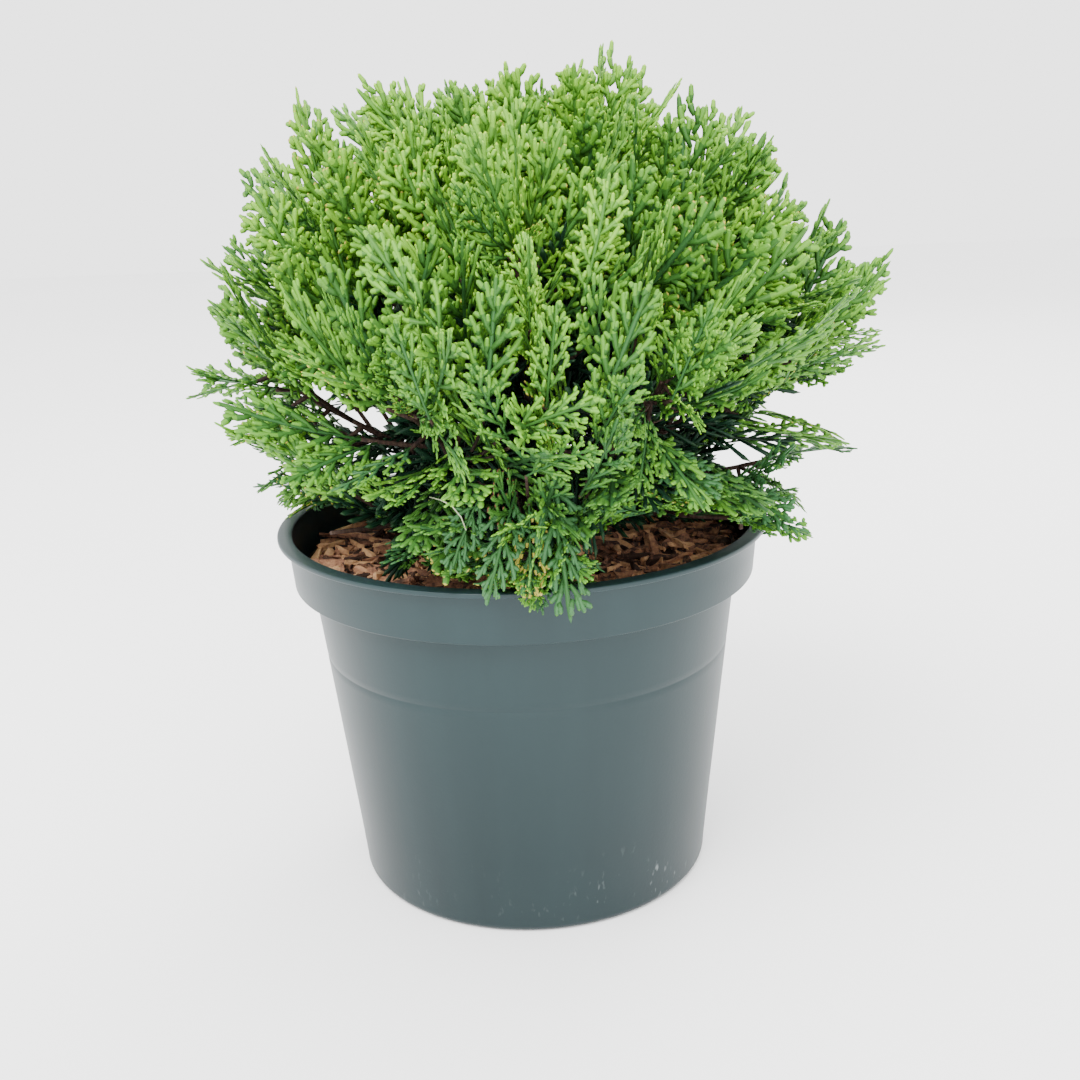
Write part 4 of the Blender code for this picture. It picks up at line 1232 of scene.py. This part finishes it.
def mulch_bed():
    """A disc of rings whose height is the level of the soil plus waves, closed below by a flat disc."""
    radius = BED_RADIUS * np.linspace(0.0, 1.0, BED_ROWS)[1:, None]
    angles = 2 * math.pi * np.arange(BED_SPOKES)[None] / BED_SPOKES
    x, y = radius * np.cos(angles), radius * np.sin(angles)
    top = np.stack([x, y, bed_height(x, y)], axis=-1)
    below = top[-1:] * (1, 1, 0) + (0, 0, SOIL_LEVEL - BED_DEPTH)
    return closed_tube(np.concatenate([top, below]))


def chips(count, lengths, thickness, seed, highest):
    """Splinters as small closed grids: a slab 6 points long, 3 wide and 2 thick with torn, uneven edges."""
    rng = np.random.default_rng(seed)
    length = rng.uniform(*lengths, count) * rng.uniform(0.6, 1.0, count)
    width = length * rng.uniform(*WIDTH_SHARES, count)
    thick = thickness * rng.uniform(0.5, 1.2, count)
    radius = np.sqrt(rng.uniform(0.02, 1.0, count)) * (BED_RADIUS - CHIPS_FROM_WALL)
    angle = rng.uniform(0, 2 * math.pi, count)
    turn = rng.uniform(0, 2 * math.pi, count)
    near_wall = radius + length / 2 > BED_RADIUS - 0.001
    turn = np.where(near_wall, angle + math.pi / 2 + rng.normal(size=count) * 0.12, turn)
    pitch = np.clip(rng.normal(size=count) * 0.15, -0.35, 0.35)
    roll = np.clip(rng.normal(size=count) * 0.45, -0.9, 0.9)
    middle_x, middle_y = radius * np.cos(angle), radius * np.sin(angle)
    ground = bed_height(middle_x, middle_y)
    values = (length, width, thick, turn, pitch, roll, middle_x, middle_y, ground)
    length, width, thick, turn, pitch, roll, middle_x, middle_y, ground = (
        value[:, None, None, None] for value in values
    )
    long_share, wide_share, thick_share = (np.linspace(-0.5, 0.5, points) for points in SLAB)
    long_share, wide_share = long_share[:, None, None], wide_share[:, None]
    taper = 1 - 0.55 * np.abs(long_share * 2) ** 2.2
    shape = (count, *SLAB)
    u = long_share * length + rng.normal(size=shape) * TORN[0]
    v = wide_share * taper * width + rng.normal(size=shape) * TORN[1]
    w = thick_share * thick * (1 - 0.5 * np.abs(wide_share))
    w = w + rng.normal(size=(count, *SLAB[:2], 1)) * TORN[2]
    x = middle_x + u * np.cos(turn) - v * np.sin(turn)
    y = middle_y + u * np.sin(turn) + v * np.cos(turn)
    ground = ground + rng.uniform(0.0, highest, count)[:, None, None, None]
    z = ground + (np.tan(pitch) * u + np.tan(roll) * v) + w
    pulled = np.minimum(1.0, (BED_RADIUS + 0.0002) / np.maximum(np.hypot(x, y), 1e-6))
    points = np.stack([x * pulled, y * pulled, z], axis=-1)
    clear_of_trunk = np.hypot(points[..., 0], points[..., 1]).min(axis=(1, 2, 3)) > TRUNK_CLEARANCE
    points = points[clear_of_trunk]
    one = slab_triangles()
    offsets = np.arange(len(points))[:, None, None] * math.prod(SLAB)
    numbers = np.repeat(np.arange(len(points)), len(one))
    return points.reshape(-1, 3), (one[None] + offsets).reshape(-1, 3), numbers


def slab_triangles():
    """Triangles of a closed slab of 6 by 3 by 2 points: its top, its underside and its rim."""
    number = np.arange(math.prod(SLAB)).reshape(SLAB)
    top = grid_triangles(*SLAB[:2])
    flat_numbers = number[:, :, 1].ravel()
    under_numbers = number[:, :, 0].ravel()
    faces = [flat_numbers[top][:, ::-1], under_numbers[top]]
    rim = [(i, 0) for i in range(6)] + [(5, 1)] + [(i, 2) for i in range(5, -1, -1)] + [(0, 1)]
    for (i, j), (k, m) in zip(rim, rim[1:] + rim[:1]):
        a, b, c, d = number[i, j, 0], number[k, m, 0], number[k, m, 1], number[i, j, 1]
        faces.append(np.array([(a, b, c), (a, c, d)]))
    return np.concatenate(faces)


CHIP_DARK = (0.042, 0.021, 0.014)
CHIP_RED = (0.330, 0.155, 0.088)
CHIP_TAN = (0.660, 0.380, 0.190)


def bark_chip(name, shift):
    """Torn bark: fibres in red-brown, darker in the hollows of the relief as painted shade; `shift` lightens
    a whole lot of chips.
    """
    finish = Finish(name, CHIP_RED, 0.85, Specular_IOR_Level=0.3)
    places = finish.places()
    fibres = finish.noise(places, 420.0, 4.0, 0.7)
    patches = finish.noise(places, 90.0, 2.0)
    tone_and_hollow_shade = fibres * 0.6 + patches * 0.4 + shift
    finish.feed("Base Color", finish.ramp(tone_and_hollow_shade, ((0.34, CHIP_DARK), (0.52, CHIP_RED), (0.74, CHIP_TAN))))
    finish.feed("Roughness", 0.65 + fibres * 0.3)
    finish.feed("Normal", finish.bump(fibres, 0.6, 0.0007))
    return finish.material


CHIP_SHIFTS = (-0.20, -0.08, 0.04, 0.19)
CHIP_FINISHES = [bark_chip(f"bark_chip_{k + 1}", shift) for k, shift in enumerate(CHIP_SHIFTS)]
bed = add_piece("soil_bed", *mulch_bed(), [bark_chip("dark_soil", -0.28)])
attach(bed, "root")
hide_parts("soil")
for name, count, lengths, thickness, seed, highest in (
    ("bark_chips", CHIPS, (0.008, 0.030), 0.0020, 41, 0.0038),
    ("bark_crumbs", CRUMBS, (0.002, 0.007), 0.0012, 42, 0.0040),
):
    points, triangles, number = chips(count, lengths, thickness, seed, highest)
    tints = np.random.default_rng(seed + 1).integers(0, len(CHIP_FINISHES), number.max() + 1)
    mulch = add_piece(name, points, outward(points, triangles), CHIP_FINISHES, tints[number], smooth=False)
    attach(mulch, "root")

# %% [markdown]
# The stage is a plain pale floor under soft, even studio light: a bright sky all round, one wide lamp
# above and behind the camera, a weaker one from the back to part the crown from the ground, and a
# low weak one from the front for the mulch and the fronds over the rim.

# %% Floor and light
FLOOR_SIZE = 6.0
SKY_STRENGTH = 3.0
LAMPS_AIM_AT = 0.17


def pale_floor():
    finish = Finish("pale_floor", (0.93, 0.93, 0.93), 0.9)
    cloud = finish.noise(finish.places(), 1.5, 2.0)
    finish.feed("Base Color", finish.ramp(cloud, ((0.3, (0.92, 0.92, 0.92)), (0.7, (0.95, 0.95, 0.95)))))
    return finish.material


floor_points = np.array([(-1, -1, 0), (1, -1, 0), (1, 1, 0), (-1, 1, 0)]) * FLOOR_SIZE / 2
floor = add_piece("floor", floor_points, [(0, 1, 2), (0, 2, 3)], [pale_floor()])

world = bpy.data.worlds.new("studio")
world.use_nodes = True
world.node_tree.nodes["Background"].inputs["Color"].default_value = (1.0, 1.0, 1.0, 1.0)
world.node_tree.nodes["Background"].inputs["Strength"].default_value = SKY_STRENGTH
bpy.context.scene.world = world


def add_lamp(name, place, power, size):
    """A square area lamp that looks at the middle of the plant."""
    data = bpy.data.lights.new(name, "AREA")
    data.energy = power
    data.size = size
    lamp = bpy.data.objects.new(name, data)
    forward = unit(UP * LAMPS_AIM_AT - np.array(place))
    side, up = frame_of(forward, UP)
    turn = Matrix(np.column_stack([side, up, -forward]).tolist()).to_4x4()
    lamp.matrix_world = Matrix.Translation(place) @ turn
    bpy.context.scene.collection.objects.link(lamp)


add_lamp("key_light", (-0.5, -0.9, 1.5), 45.0, 0.9)
add_lamp("back_light", (0.6, 1.0, 1.2), 18.0, 0.8)
add_lamp("front_light", (0.25, -1.3, 0.30), 9.0, 1.2)
